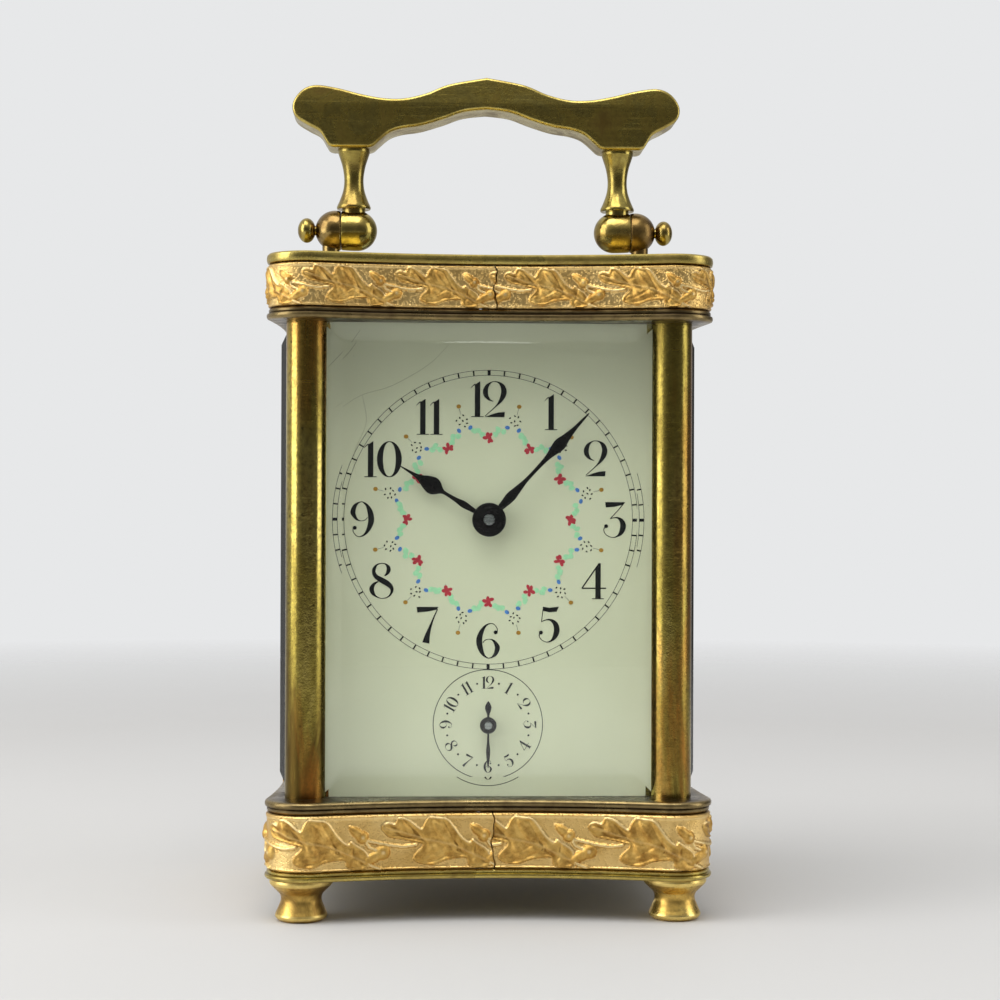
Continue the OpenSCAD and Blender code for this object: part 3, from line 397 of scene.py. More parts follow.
def fine_metal(name, colour, deep, rough):
    """Machined movement metal: fine graining, and a faint yellowing in patches."""
    s = Shader(name)
    tone = s.ramp(s.noise(90, 5), [(0.3, deep), (0.65, colour)])
    grain = s.noise(40, 2, 0.5, s.stretched((2, 40, 60)))
    spots = s.ramp(s.cells(240), [(0.03, 0.5), (0.09, 0.0)])
    tone = s.mix(spots, tone, tuple(c * 0.45 for c in deep))
    grey = s.ramp(grain, [(0.3, rough - 0.05), (0.7, rough + 0.1)])
    s.set(Base_Color=tone, Metallic=1.0, Roughness=grey)
    return s.set(Normal=s.bump(grain, 0.00003, 0.5))


def clear_glass():
    """Bevelled plate glass, faintly green, with a trace of dust. Lamps shine through it."""
    s = Shader("glass")
    dust = s.ramp(s.noise(260, 4, 0.7), [(0.5, 0.0), (0.8, 0.035)])
    s.set(Base_Color=(0.93, 0.985, 0.955), Transmission_Weight=1.0, IOR=1.5, Roughness=dust)
    return s.see_through(s.node("ShaderNodeLightPath").outputs["Is Shadow Ray"], (0.93, 0.97, 0.95))


BRASS = aged_metal("aged_brass", [(108, 88, 42), (160, 142, 68), (184, 168, 92), (226, 202, 118)], 0.26)
FOOT_TONES = [(140, 104, 48), (222, 184, 94), (244, 212, 120), (250, 224, 140)]
FOOT_BRASS = aged_metal("foot_brass", FOOT_TONES, 0.3, spots=0.5)
KNUCKLE_TONES = [(70, 50, 28), (112, 88, 52), (150, 128, 80), (176, 148, 86)]
KNUCKLE = aged_metal("knuckle_brass", KNUCKLE_TONES, 0.25, spots=0.6, stain=(92, 60, 34))
HANDLE_TONES = [(92, 72, 32), (148, 132, 62), (180, 166, 92), (224, 200, 118)]
HANDLE_BRASS = aged_metal("handle_brass", HANDLE_TONES, 0.2, spots=0.5, stain=(124, 88, 42))
BRONZE_TONES = [(58, 45, 32), (86, 72, 48), (120, 104, 70), (176, 154, 104)]
BRONZE = aged_metal("dark_bronze", BRONZE_TONES, 0.3, stain=(70, 54, 44))
COLUMN_TONES = [(92, 74, 34), (156, 140, 66), (196, 178, 98), (222, 198, 116)]
COLUMN = aged_metal("column_brass", COLUMN_TONES, 0.2, (1, 1, 0.14), 0.8, (168, 106, 44))
GILT = gilt_metal()
GLASS = clear_glass()
ENAMEL = enamel()
BLACK = dark_steel("black_steel", srgb(15, 12, 13), 0.3, srgb(30, 25, 26))
BLUE = dark_steel("blue_steel", srgb(32, 42, 84), 0.28, srgb(60, 66, 110))
STEEL = fine_metal("steel", srgb(206, 206, 206), srgb(160, 160, 162), 0.26)
WORKS = fine_metal("movement_brass", srgb(224, 190, 108), srgb(186, 148, 74), 0.3)
INK = paint("numeral_black", srgb(13, 13, 14), 0.16, 0.2)
LINE = paint("track_grey", srgb(44, 47, 42), 0.25)
ROSE = paint("rose_red", srgb(186, 44, 60))
LEAF = paint("leaf_green", srgb(176, 232, 186), 0.3, 0.15)
BLOSSOM = paint("blossom_blue", srgb(72, 122, 196))
BUD = paint("bud_gold", srgb(170, 122, 34), 0.3)
CRACK = paint("crack_brown", srgb(140, 134, 98))

# ---- plates of the case

OUTLINE, OUTWARD, ARC, GIRTH = case_outline(480)


def rings_on_outline(steps):
    """Points of the case outline at each (growth, height, wear) step, and the wear of each."""
    points, wear = [], []
    for growth, height, worn in steps:
        flat = OUTLINE + OUTWARD * growth
        points += [(x, y, height) for x, y in flat]
        wear += [worn] * len(flat)
    return points, wear


def case_plate(name, material, profile, window=None):
    """A plate with moulded edges. profile is (growth, share of the thickness, wear), upwards."""
    lo, hi = box_mm(name)
    thick = hi[2] - lo[2]
    steps = [(g, lo[2] + share * thick, w) for g, share, w in profile]
    first, last = steps[0], steps[-1]
    steps = [(first[0] - 2, first[1], 0), *steps, (last[0] - 2, last[1], 0)]
    points, wear = rings_on_outline(steps)
    n = len(OUTLINE)
    faces = grid_faces(len(steps), n, wrap_columns=True)
    if window:
        for height in (steps[-1][1], steps[0][1]):
            points += [(x, y, height) for x, y in window_ring(*window)]
            wear += [0.3] * n
        faces = grid_faces(len(steps) + 2, n, wrap_rows=True, wrap_columns=True)
    else:
        faces += [tuple(range(n)), tuple(range(n * (len(steps) - 1), n * len(steps)))]
    return piece(name + "_body", points, faces, material, "case", [name], {"wear": wear})


def window_ring(half_x, half_y):
    """Points round a rectangular window, one for each point of the case outline."""
    n = len(OUTLINE)
    corner = int(np.argmin(np.abs(OUTWARD[: n // 4, 0] + OUTWARD[: n // 4, 1])))
    marks = [0, corner, n // 2 - corner, n // 2 + corner, n - corner, n]
    xs = [0, half_x, half_x, -half_x, -half_x, 0]
    ys = [-half_y, -half_y, half_y, half_y, -half_y, -half_y]
    i = np.arange(n)
    return np.stack([np.interp(i, marks, xs), np.interp(i, marks, ys)], 1)


ROUNDED = [(-0.5, 0, 0), (-0.15, 0.1, 0.3), (0, 0.35, 0.5), (0, 0.6, 0.3), (-0.1, 0.84, 0.6), (-0.45, 1, 0.5)]
MOULDED = [
    (-0.75, 0, 0), (-0.6, 0.06, 0.5), (-0.42, 0.16, 0.5), (-0.4, 0.34, 0.2), (-0.5, 0.4, 0),
    (-0.42, 0.44, 0), (-0.1, 0.5, 0.2), (0, 0.62, 0.5), (-0.02, 0.8, 0.5), (-0.2, 0.93, 0.7),
    (-0.55, 1, 0.4),
]
LOWER = [(g, 1 - share, w) for g, share, w in reversed(MOULDED)]

case_plate("base_bottom_plate", BRASS, LOWER)
case_plate("base_top_plate", BRONZE, MOULDED)
case_plate("top_frame_plate", BRONZE, LOWER, (24, 18))
case_plate("top_plate", BRASS, ROUNDED, (24, 17))

# ---- gilt bands with oak leaves

# One leaf with its acorns, for a band 11 mm high. x runs left from the foot of the stem, y upwards.
LEAF_EDGE = [
    (0, 1.15), (-0.6, 3.75), (-2.6, 5.2), (-3.7, 5.97), (-4.3, 5.4), (-5.8, 6.5), (-7.2, 8.4), (-8.5, 9.9),
    (-10.4, 10.2), (-12, 10.4), (-13, 9.1), (-13.5, 8.1), (-14.6, 8.8), (-16.1, 9.9), (-18, 10.3),
    (-18.6, 9.1), (-19.9, 9.4), (-21.2, 8.8), (-21.3, 7.9), (-20.3, 6.8), (-19.5, 6.3), (-17, 5.85),
    (-14.1, 5.2), (-13.4, 4.75), (-14.6, 3.5), (-15.2, 2.2), (-14.1, 1.3), (-12.4, 1.0), (-11, 1.0),
    (-8.9, 1.8), (-6.6, 2.2), (-4.9, 2.1), (-4.6, 0.9), (-2.9, 0.3), (-1.2, 0.45),
]
MIDRIB = [(0, 1.3), (-4, 3.2), (-8, 4.9), (-13, 6.0), (-17.5, 7.4), (-20.8, 8.2)]
SIDE_VEINS = [
    [(-3.5, 3.0), (-3.0, 4.9)], [(-6.5, 4.3), (-8.2, 7.4), (-9.4, 9.6)],
    [(-9, 5.1), (-11, 7.6), (-11.6, 9.8)], [(-13.5, 6.2), (-15.2, 7.9), (-16.8, 9.6)],
    [(-8.5, 4.9), (-11.2, 3.2), (-14.3, 2.2)], [(-6, 4.0), (-8.4, 2.9), (-12.2, 1.6)],
    [(-3.2, 2.8), (-3.8, 1.7), (-3.6, 0.8)], [(-13, 6.0), (-16, 6.2), (-19, 6.6)],
]
TWIGS = [
    [(-24.9, 6.6), (-24, 5.9), (-21.5, 5.3), (-19.5, 4.9), (-17, 4.6), (-14.6, 4.9)],
    [(-23.4, 1.2), (-21.5, 0.4)], [(-0.9, 6.4), (-0.2, 4.6), (2.8, 3.6)],
]
# Acorns: centre, direction of the nut, half its length and half its width.
ACORNS = [((-2.3, 7.2), (-0.78, 0.62), 2.0, 1.1), ((-22.1, 3.0), (-0.87, -0.48), 2.5, 1.25)]
UNIT = 23.4
UNIT_H = 11
# Heights of the relief above the ground, for the larger band.
LEAF_H = 0.5
ACORN_H = 0.85
# Edges of the leaves that face this way get a painted highlight, as if lit from this side. They are found by
# a short step.
HIGHLIGHT_WAY = (0.8, 0.6)
HIGHLIGHT_STEP = 0.12


def distance_to_lines(p, lines):
    """Shortest distance from each point to any segment of an open polyline."""
    a, b = np.array(lines[:-1], float), np.array(lines[1:], float)
    best = np.full(len(p), 1e9)
    for start, end in zip(a, b):
        d = end - start
        t = np.clip((p - start) @ d / (d @ d), 0, 1)
        best = np.minimum(best, np.linalg.norm(p - start - t[:, None] * d, axis=1))
    return best


def inside(p, loop):
    """Which points lie inside a closed outline."""
    hit = np.zeros(len(p), bool)
    for (x0, y0), (x1, y1) in zip(loop, np.roll(loop, -1, 0)):
        crosses = (y0 > p[:, 1]) != (y1 > p[:, 1])
        rise = y1 - y0 if y1 != y0 else 1e-9
        hit ^= crosses & (p[:, 0] < (x1 - x0) * (p[:, 1] - y0) / rise + x0)
    return hit


def smooth(a, b, x):
    """0 below a, 1 above b, and eased in between."""
    t = np.clip((x - a) / (b - a), 0, 1)
    return t * t * (3 - 2 * t)


def leaf_relief(p):
    """Height, leaf share and painted highlight of one motif at points p, in its own millimetres."""
    loop = catmull(LEAF_EDGE, 3, closed=True)
    depth = distance_to_lines(p, np.r_[loop, loop[:1]])
    depth = np.where(inside(p, loop), depth, -depth)
    rib = distance_to_lines(p, catmull(MIDRIB, 4))
    vein = np.min([distance_to_lines(p, catmull(v, 3)) for v in SIDE_VEINS], axis=0)
    step = np.array(HIGHLIGHT_WAY) * HIGHLIGHT_STEP
    nearer = distance_to_lines(p + step, np.r_[loop, loop[:1]])
    nearer = np.where(inside(p + step, loop), nearer, -nearer)
    lit_side = smooth(-0.35, 0.55, (depth - nearer) / HIGHLIGHT_STEP)
    rise = smooth(-0.06, 0.2, depth)
    height = LEAF_H * rise * (0.62 + 0.5 * smooth(0.3, 2.0, depth))
    height += rise * (0.16 * np.exp(-(((depth - 0.3) / 0.2) ** 2)) - 0.3 * np.exp(-((rib / 0.9) ** 2)))
    height += rise * (0.2 * np.exp(-((rib / 0.3) ** 2)) - 0.15 * np.exp(-((vein / 0.3) ** 2)))
    height += rise * 0.17 * np.sin(1.9 * p[:, 0] + 1.1 * p[:, 1]) * smooth(0.4, 1.4, depth)
    # Painted highlight on the leaf edges that face one way, and a faint one along the midrib.
    rim = lit_side * np.exp(-(((depth - 0.18) / 0.17) ** 2)) + 0.2 * np.exp(-((rib / 0.2) ** 2)) * rise
    share = rise.copy()
    for line in TWIGS:
        d = distance_to_lines(p, catmull(line, 3))
        twig = 0.45 * np.sqrt(np.clip(1 - (d / 0.42) ** 2, 0, 1))
        share = np.maximum(share, 0.5 * (twig > 0.1))
        # Painted highlight along the crest of each twig.
        rim = np.maximum(rim, 0.8 * (twig > 0.4))
        height = np.maximum(height, twig)
    for centre, towards, half_length, half_width in ACORNS:
        along = (p - centre) @ np.array(towards)
        across = (p - centre) @ np.array([-towards[1], towards[0]])
        nut = 1 - ((along - 0.3) / half_length) ** 2 - (across / (half_width * 0.86)) ** 2
        cup = 1 - ((along + half_length * 0.5) / (half_length * 0.6)) ** 2
        cup -= (across / (half_width * 1.15)) ** 2
        tip = 1 - ((along - half_length - 0.2) ** 2 + across**2) / 0.09
        body = ACORN_H * np.sqrt(np.clip(nut, 0, 1)) * 0.86
        body = np.maximum(body, ACORN_H * np.sqrt(np.clip(cup, 0, 1)))
        body = np.maximum(body, 0.35 * np.sqrt(np.clip(tip, 0, 1)))
        share = np.maximum(share, smooth(0.1, 0.3, body))
        # Painted highlight on the tops of the acorn cups.
        rim = np.where(body > 0.1, 0.9 * smooth(0.8, 0.86, body), rim)
        height = np.maximum(height, body)
    return height, share, rim


# The gap between a band's halves, the gap above and below it, and how deep its ground lies and is thick.
SEAM_GAP = 0.3
EDGE_GAP = 0.12
GROUND_IN = 0.4
GROUND_T = 0.9
BAND_COLUMNS = 850


def band_half(node, side, phase, seam_x, rows, columns=BAND_COLUMNS):
    """One stamped half of a gilt band, from the crooked seam in front round to the one behind."""
    lo, hi = box_mm(node)
    tall = hi[2] - lo[2]
    scale = tall / UNIT_H
    proud = hi[0] - box_mm("top_plate")[1][0]
    t = np.linspace(0, 1, columns)
    v = np.linspace(0, 1, rows)
    along, up = (g.ravel() for g in np.meshgrid(t, v))
    crook = 0.28 * np.sin(9 * up + seam_x) + 0.12 * np.sin(23 * up)
    half = GIRTH / 2 - SEAM_GAP
    start = seam_x * side + SEAM_GAP / 2
    s = start + along * (half - start) + side * crook * (1 - along) ** 30
    z = EDGE_GAP + up * (tall - 2 * EDGE_GAP)
    u = (side * s - phase) / scale
    y = z / scale
    x = -np.mod(-u, UNIT)
    height, leaf, rim = leaf_relief(np.stack([x, y], 1))
    # The motifs on either side overlap. Where one stands higher, its painted highlight is kept.
    for shift in (-UNIT, UNIT):
        more, share, bright = leaf_relief(np.stack([x + shift, y], 1))
        rim = np.where(more > height, bright, rim)
        height, leaf = np.maximum(height, more), np.maximum(leaf, share)
    border = 0.2 * np.maximum(smooth(UNIT_H - 1.15, UNIT_H - 0.85, y), 1 - smooth(0.5, 0.75, y))
    border -= 0.12 * np.exp(-(((UNIT_H - 0.75 - y) / 0.12) ** 2))
    ground = 0.03 * np.sin(1.7 * u) * np.sin(1.3 * y)
    relief = np.maximum(height, np.maximum(border, ground)) * (proud + GROUND_IN) / (ACORN_H + 0.02)
    edge = np.minimum(z, tall - z) - EDGE_GAP
    relief -= 0.3 * (1 - smooth(0, 0.35, edge))
    growth = -GROUND_IN + relief
    # Painted shade at the foot of the relief, and along the band's top and bottom edges.
    hollow = np.exp(-(((height - 0.06) / 0.07) ** 2)) * (height > 0.005)
    hollow = np.maximum(hollow, 1 - smooth(0, 0.25, edge))
    order = np.r_[ARC, GIRTH]
    where = np.mod(side * s, GIRTH)
    flat = [np.interp(where, order, np.r_[c, c[:1]]) for c in (*OUTLINE.T, *OUTWARD.T)]
    outer = np.stack([flat[0] + flat[2] * growth, flat[1] + flat[3] * growth, lo[2] + z], 1)
    inner_growth = -GROUND_IN - GROUND_T
    inner = np.stack([flat[0] + flat[2] * inner_growth, flat[1] + flat[3] * inner_growth, lo[2] + z], 1)
    picked = np.r_[0 : rows : rows - 1]
    inner = inner.reshape(rows, columns, 3)[picked].reshape(-1, 3)
    points = np.r_[outer, inner]
    faces = grid_faces(rows, columns)
    low, high = rows * columns, rows * columns + columns
    top = (rows - 1) * columns
    for j in range(columns - 1):
        faces.append((j, j + 1, low + j + 1, low + j))
        faces.append((top + j, top + j + 1, high + j + 1, high + j))
        faces.append((low + j, low + j + 1, high + j + 1, high + j))
    for j in (0, columns - 1):
        faces.append(tuple([low + j] + [i * columns + j for i in range(rows)] + [high + j]))
    plain = np.zeros(2 * columns)
    # Painted highlight along the raised border at the band's top.
    rim = np.maximum(rim, 0.6 * np.exp(-(((UNIT_H - 0.95 - y) / 0.14) ** 2)))
    # The back of the band gets full painted shade and no painted highlight.
    values = {"leaf": np.r_[leaf, plain], "hollow": np.r_[hollow, plain + 1], "rim": np.r_[rim, plain]}
    name = node + ("_right" if side > 0 else "_left")
    return piece(name, points, faces, GILT, "case", [node], values, crease=60)


band_half("base_band", 1, -6.6, 0.7, 58)
band_half("base_band", -1, 0.5, 0.7, 58)
band_half("top_band", 1, 0.8, 0.8, 48)
band_half("top_band", -1, -2.1, 0.8, 48)

# ---- feet and handle

FOOT = [
    (4.2, 0.05), (5.05, 0.9), (4.6, 2.2), (3.95, 3.9), (4.15, 5.1), (5.2, 6.2), (6.1, 7.2), (6.1, 8.0),
]
# The flat top, and the stem that goes up into the base with its round nut.
FOOT_STEM = [(5.8, 8.25), (1.5, 8.25), (1.5, 10.1), (2.4, 10.1), (2.4, 10.8), (0, 10.8)]
for corner in ("front_left", "front_right", "rear_left", "rear_right"):
    node = "foot_" + corner
    centre = sum(box_mm(node)) / 2
    profile = [(0, 0), (3.6, 0), *catmull(FOOT, 6).tolist(), *FOOT_STEM]
    points, faces = lathe(profile, (centre[0], centre[1], 0), turns=96)
    wear = [0.8 if 0.5 < p[2] < 1.3 or 6.9 < p[2] < 8.1 else 0.1 for p in points]
    piece(node + "_turned", points, faces, FOOT_BRASS, "case", [node], {"wear": wear})

CASE_TOP_Z = 128.4
PIVOT_Z = 137
BALL_R = 4.15
# Where the fixed and the moving half of a ball meet, with this gap on each side.
SPLIT_X = 30
SPLIT_GAP = 0.05
PEDESTAL_X = 32.1
FIXED_BALL_X = 31.2
LEG_BALL_X = 26.7
LEG_X = 27.4
LEG_FOOT_Z = PIVOT_Z + 4.4
LEG_TOP_Z = 153.7
STEM = [(3.4, 0), (3.5, 0.5), (2.9, 1.9), (2.2, 4), (2, 6.3), (2.35, 8.8), (3, 10.9), (3.3, 11.8)]
PEDESTAL = [(0, 0), (2.9, 0), (3.0, 0.3), (2.5, 0.6), (1.9, 1.4), (1.7, 2.8), (1.8, 5.3), (0, 5.3)]


def dome(centre, cut, side, steps=36):
    """Half a knuckle: a ball that keeps its girth up to the cut, where its edge is eased."""
    pole = centre + BALL_R * (1 if centre > cut else -1)
    profile = []
    for a in np.linspace(0.02, math.pi / 2, steps):
        profile.append((BALL_R * math.sin(a), centre + (pole - centre) * math.cos(a)))
    for share in (0.25, 0.5, 0.75, 0.93):
        profile.append((BALL_R * (1 - 0.035 * share**2), centre + (cut - centre) * share))
    profile += [(BALL_R * 0.955, centre + (cut - centre) * 0.98), (BALL_R * 0.93, cut), (0, cut)]
    return lathe(profile, (0, 0, PIVOT_Z), "X" if side > 0 else "-X", turns=80)


def ring_wear(points):
    """More rubbing towards the widest part of a ball."""
    p = np.array(points)
    out = np.hypot(p[:, 1], p[:, 2] - PIVOT_Z) / BALL_R
    return 0.15 + 0.35 * np.clip(out, 0, 1) ** 6


def turned(name, points, faces, material, body, wear):
    """A turned piece that stands for the CAD node of its name."""
    piece(name + "_turned", points, faces, material, body, [name], {"wear": wear})


for side, word in ((-1, "left"), (1, "right")):
    pedestal = [(r, CASE_TOP_Z + h) for r, h in PEDESTAL]
    foot = lathe(pedestal, (side * PEDESTAL_X, 0, 0), turns=64)
    points, faces = merge(dome(FIXED_BALL_X, SPLIT_X + SPLIT_GAP, side), foot)
    turned("knuckle_" + word, points, faces, KNUCKLE, "case", ring_wear(points))
    stem = [(r, LEG_FOOT_Z + h) for r, h in catmull(STEM, 5)]
    profile = [(0, PIVOT_Z), (2.4, PIVOT_Z + 2), (2.4, LEG_FOOT_Z), *stem, (3.3, LEG_TOP_Z), (0, LEG_TOP_Z)]
    leg = lathe(profile, (side * LEG_X, 0, 0), turns=80)
    points, faces = merge(dome(LEG_BALL_X, SPLIT_X - SPLIT_GAP, side), leg)
    wear = ring_wear(points)
    wear[np.array(points)[:, 2] > LEG_FOOT_Z - 0.01] = 0.2
    turned("handle_leg_" + word, points, faces, HANDLE_BRASS, "handle", wear)

knobs = []
for side in (-1, 1):
    oval = [(2.55 * math.sin(a), 37.1 - 1.85 * math.cos(a)) for a in np.linspace(0.4, math.pi - 0.25, 26)]
    profile = [(0, 25), (1.15, 25), (1.2, 25.1), (1.2, 35.1), (0.95, 35.2), *oval, (0, 38.95)]
    knobs.append(lathe(profile, (0, 0, PIVOT_Z), "X" if side > 0 else "-X", turns=64))
points, faces = merge(*knobs)
wear = {"wear": [0.3] * len(points)}
piece("pivot_knobs", points, faces, HANDLE_BRASS, "handle", ["pivot_screws"], wear)

# The bar's right half, upwards from the lug: across and up.
BAR_TOP = [
    (0, 168.3), (7.6, 166.9), (12.4, 165), (17, 163.9), (21.4, 163.9), (26, 164.7), (31, 165.9),
    (35.4, 166.4), (38.2, 165.2), (39.9, 162.6), (39.4, 160), (36.8, 158.2), (34.4, 156.9), (33.1, 154.9),
    (32.5, 154), (31.6, 153.7),
]
BAR_BOTTOM = [
    (24.3, 153.7), (23.3, 154), (22.2, 155), (20, 156.8), (17.4, 157.7), (13.6, 158.3), (9, 159.7),
    (4.8, 161.2), (0, 161.8),
]


def handle_bar():
    """The shaped bar, with softly rounded edges along its faces."""
    right = np.concatenate([catmull(BAR_TOP, 6), catmull(BAR_BOTTOM, 6)])
    loop = evenly(np.concatenate([right, right[-2:0:-1] * [-1, 1]]), 0.6)
    inward = normals_of(loop, True)
    half = box_mm("handle_bar")[1][1]
    section = [(0.62, half, 0.1), (0.36, half - 0.06, 0.4), (0.12, half - 0.2, 0.5), (0, half - 0.5, 0.4)]
    section += [(0, half - 1.4, 0.15), (0, 0, 0.1)]
    section += [(inset, -y, w) for inset, y, w in reversed(section[:-1])]
    points, wear = [], []
    for inset, y, worn in section:
        flat = loop + inward * inset
        points += [(x, y, z) for x, z in flat]
        wear += [worn] * len(flat)
    n = len(loop)
    faces = grid_faces(len(section), n, wrap_columns=True)
    flat = [(x, z, 0) for x, z in loop + inward * section[0][0]]
    last = n * (len(section) - 1)
    for a, b, c in tessellate_polygon([flat]):
        faces += [(a, b, c), (last + c, last + b, last + a)]
    values = {"wear": wear}
    piece("handle_bar_body", points, faces, BRASS, "handle", ["handle_bar"], values, crease=50)


handle_bar()

# ---- dial art

# Heights of the two dials' centres, the enamel's front, and the thickness of the paint on it.
DIAL_Z = 77.3
ALARM_Z = 36.9
DIAL_FACE = box_mm("dial")[0][1]
PAINT_T = 0.03


class Layer:
    """Flat shapes of one colour that lie on the dial, as thin closed prisms.

    Their thickness varies a little, so that no two that overlap share a face.
    """

    def __init__(self):
        self.points, self.faces = [], []
        self.laid = 0

    def prism(self, flat, quads):
        """flat is the (x, z) points of an outline in order, and quads the faces between them."""
        start, n = len(self.points), len(flat)
        self.laid += 1
        thick = PAINT_T * (1 + 0.12 * (self.laid % 7))
        for y in (DIAL_FACE - thick, DIAL_FACE + thick / 2):
            self.points += [(x, y, z) for x, z in flat]
        for quad in quads:
            self.faces.append(tuple(start + i for i in quad))
            self.faces.append(tuple(start + n + i for i in reversed(quad)))
        for i in range(n):
            j = (i + 1) % n
            self.faces.append((start + i, start + j, start + n + j, start + n + i))

    def shape(self, flat):
        self.prism(flat, [tuple(range(len(flat)))])

    def stroke(self, line, place=lambda p: p, steps=4):
        """A pen stroke through (x, y, width) points."""
        curve = catmull(line, steps) if len(line) > 2 else np.array(line, float)
        middle, width = place(curve[:, :2]), curve[:, 2:]
        scale = np.linalg.norm(place(np.array([[1.0, 0]])) - place(np.array([[0.0, 0]])))
        side = normals_of(middle, False) * width * scale / 2
        left, right = middle + side, middle - side
        n = len(middle)
        flat = np.concatenate([left, right[::-1]]).tolist()
        self.prism(flat, [(i, i + 1, 2 * n - 2 - i, 2 * n - 1 - i) for i in range(n - 1)])

    def blob(self, x, z, half_length, half_width, turn=0.0, sides=12):
        c, s = math.cos(turn), math.sin(turn)
        flat = []
        for k in range(sides):
            a = 2 * math.pi * k / sides
            p, q = half_length * math.cos(a), half_width * math.sin(a)
            flat.append((x + c * p - s * q, z + s * p + c * q))
        self.shape(flat)

    def ring(self, z, radius, width, sides=240):
        """A thin circle round a point on the dial's middle line."""
        start = len(self.points)
        steps = ((radius - width / 2, -PAINT_T), (radius + width / 2, -PAINT_T))
        steps += ((radius + width / 2, PAINT_T / 2), (radius - width / 2, PAINT_T / 2))
        for r, y in steps:
            for k in range(sides):
                a = 2 * math.pi * k / sides
                self.points.append((r * math.cos(a), DIAL_FACE + y, z + r * math.sin(a)))
        self.faces += [tuple(start + i for i in f) for f in grid_faces(4, sides, True, True)]

    def finish(self, name, material):
        piece(name, self.points, self.faces, material, "case")


def on_dial(centre_z, degrees, radius):
    """Point at an angle clockwise from 12 and a radius."""
    a = math.radians(degrees)
    return radius * math.sin(a), centre_z + radius * math.cos(a)


# Numerals one unit high: strokes as (x, y, width), filled shapes as (x, y), and round ends.
HAIR = 0.02
BOWL_0 = [(0.26 * math.sin(a), 0.487 * math.cos(a), 0.022 + 0.145 * abs(math.sin(a)) ** 1.6)
          for a in np.linspace(0, 2 * math.pi, 33)]
SIX = {
    "strokes": [
        [(0.25, 0.2, HAIR), (0.25, 0.33, HAIR), (0.17, 0.45, HAIR), (0.06, 0.48, 0.025),
         (-0.08, 0.41, 0.06), (-0.2, 0.22, 0.13), (-0.25, 0, 0.165), (-0.21, -0.23, 0.14),
         (-0.12, -0.4, 0.07), (0, -0.487, HAIR)],
        [(-0.15, -0.06, HAIR), (-0.08, 0.02, HAIR), (0.04, 0.045, HAIR), (0.15, 0, 0.06),
         (0.235, -0.12, 0.12), (0.255, -0.22, 0.14), (0.2, -0.37, 0.1), (0.1, -0.46, 0.04),
         (0, -0.487, HAIR)],
    ],
    "dots": [(0.205, 0.235, 0.055)],
}
NINE = {
    "strokes": [[(-x, -y, w) for x, y, w in line] for line in SIX["strokes"]],
    "dots": [(-x, -y, r) for x, y, r in SIX["dots"]],
}
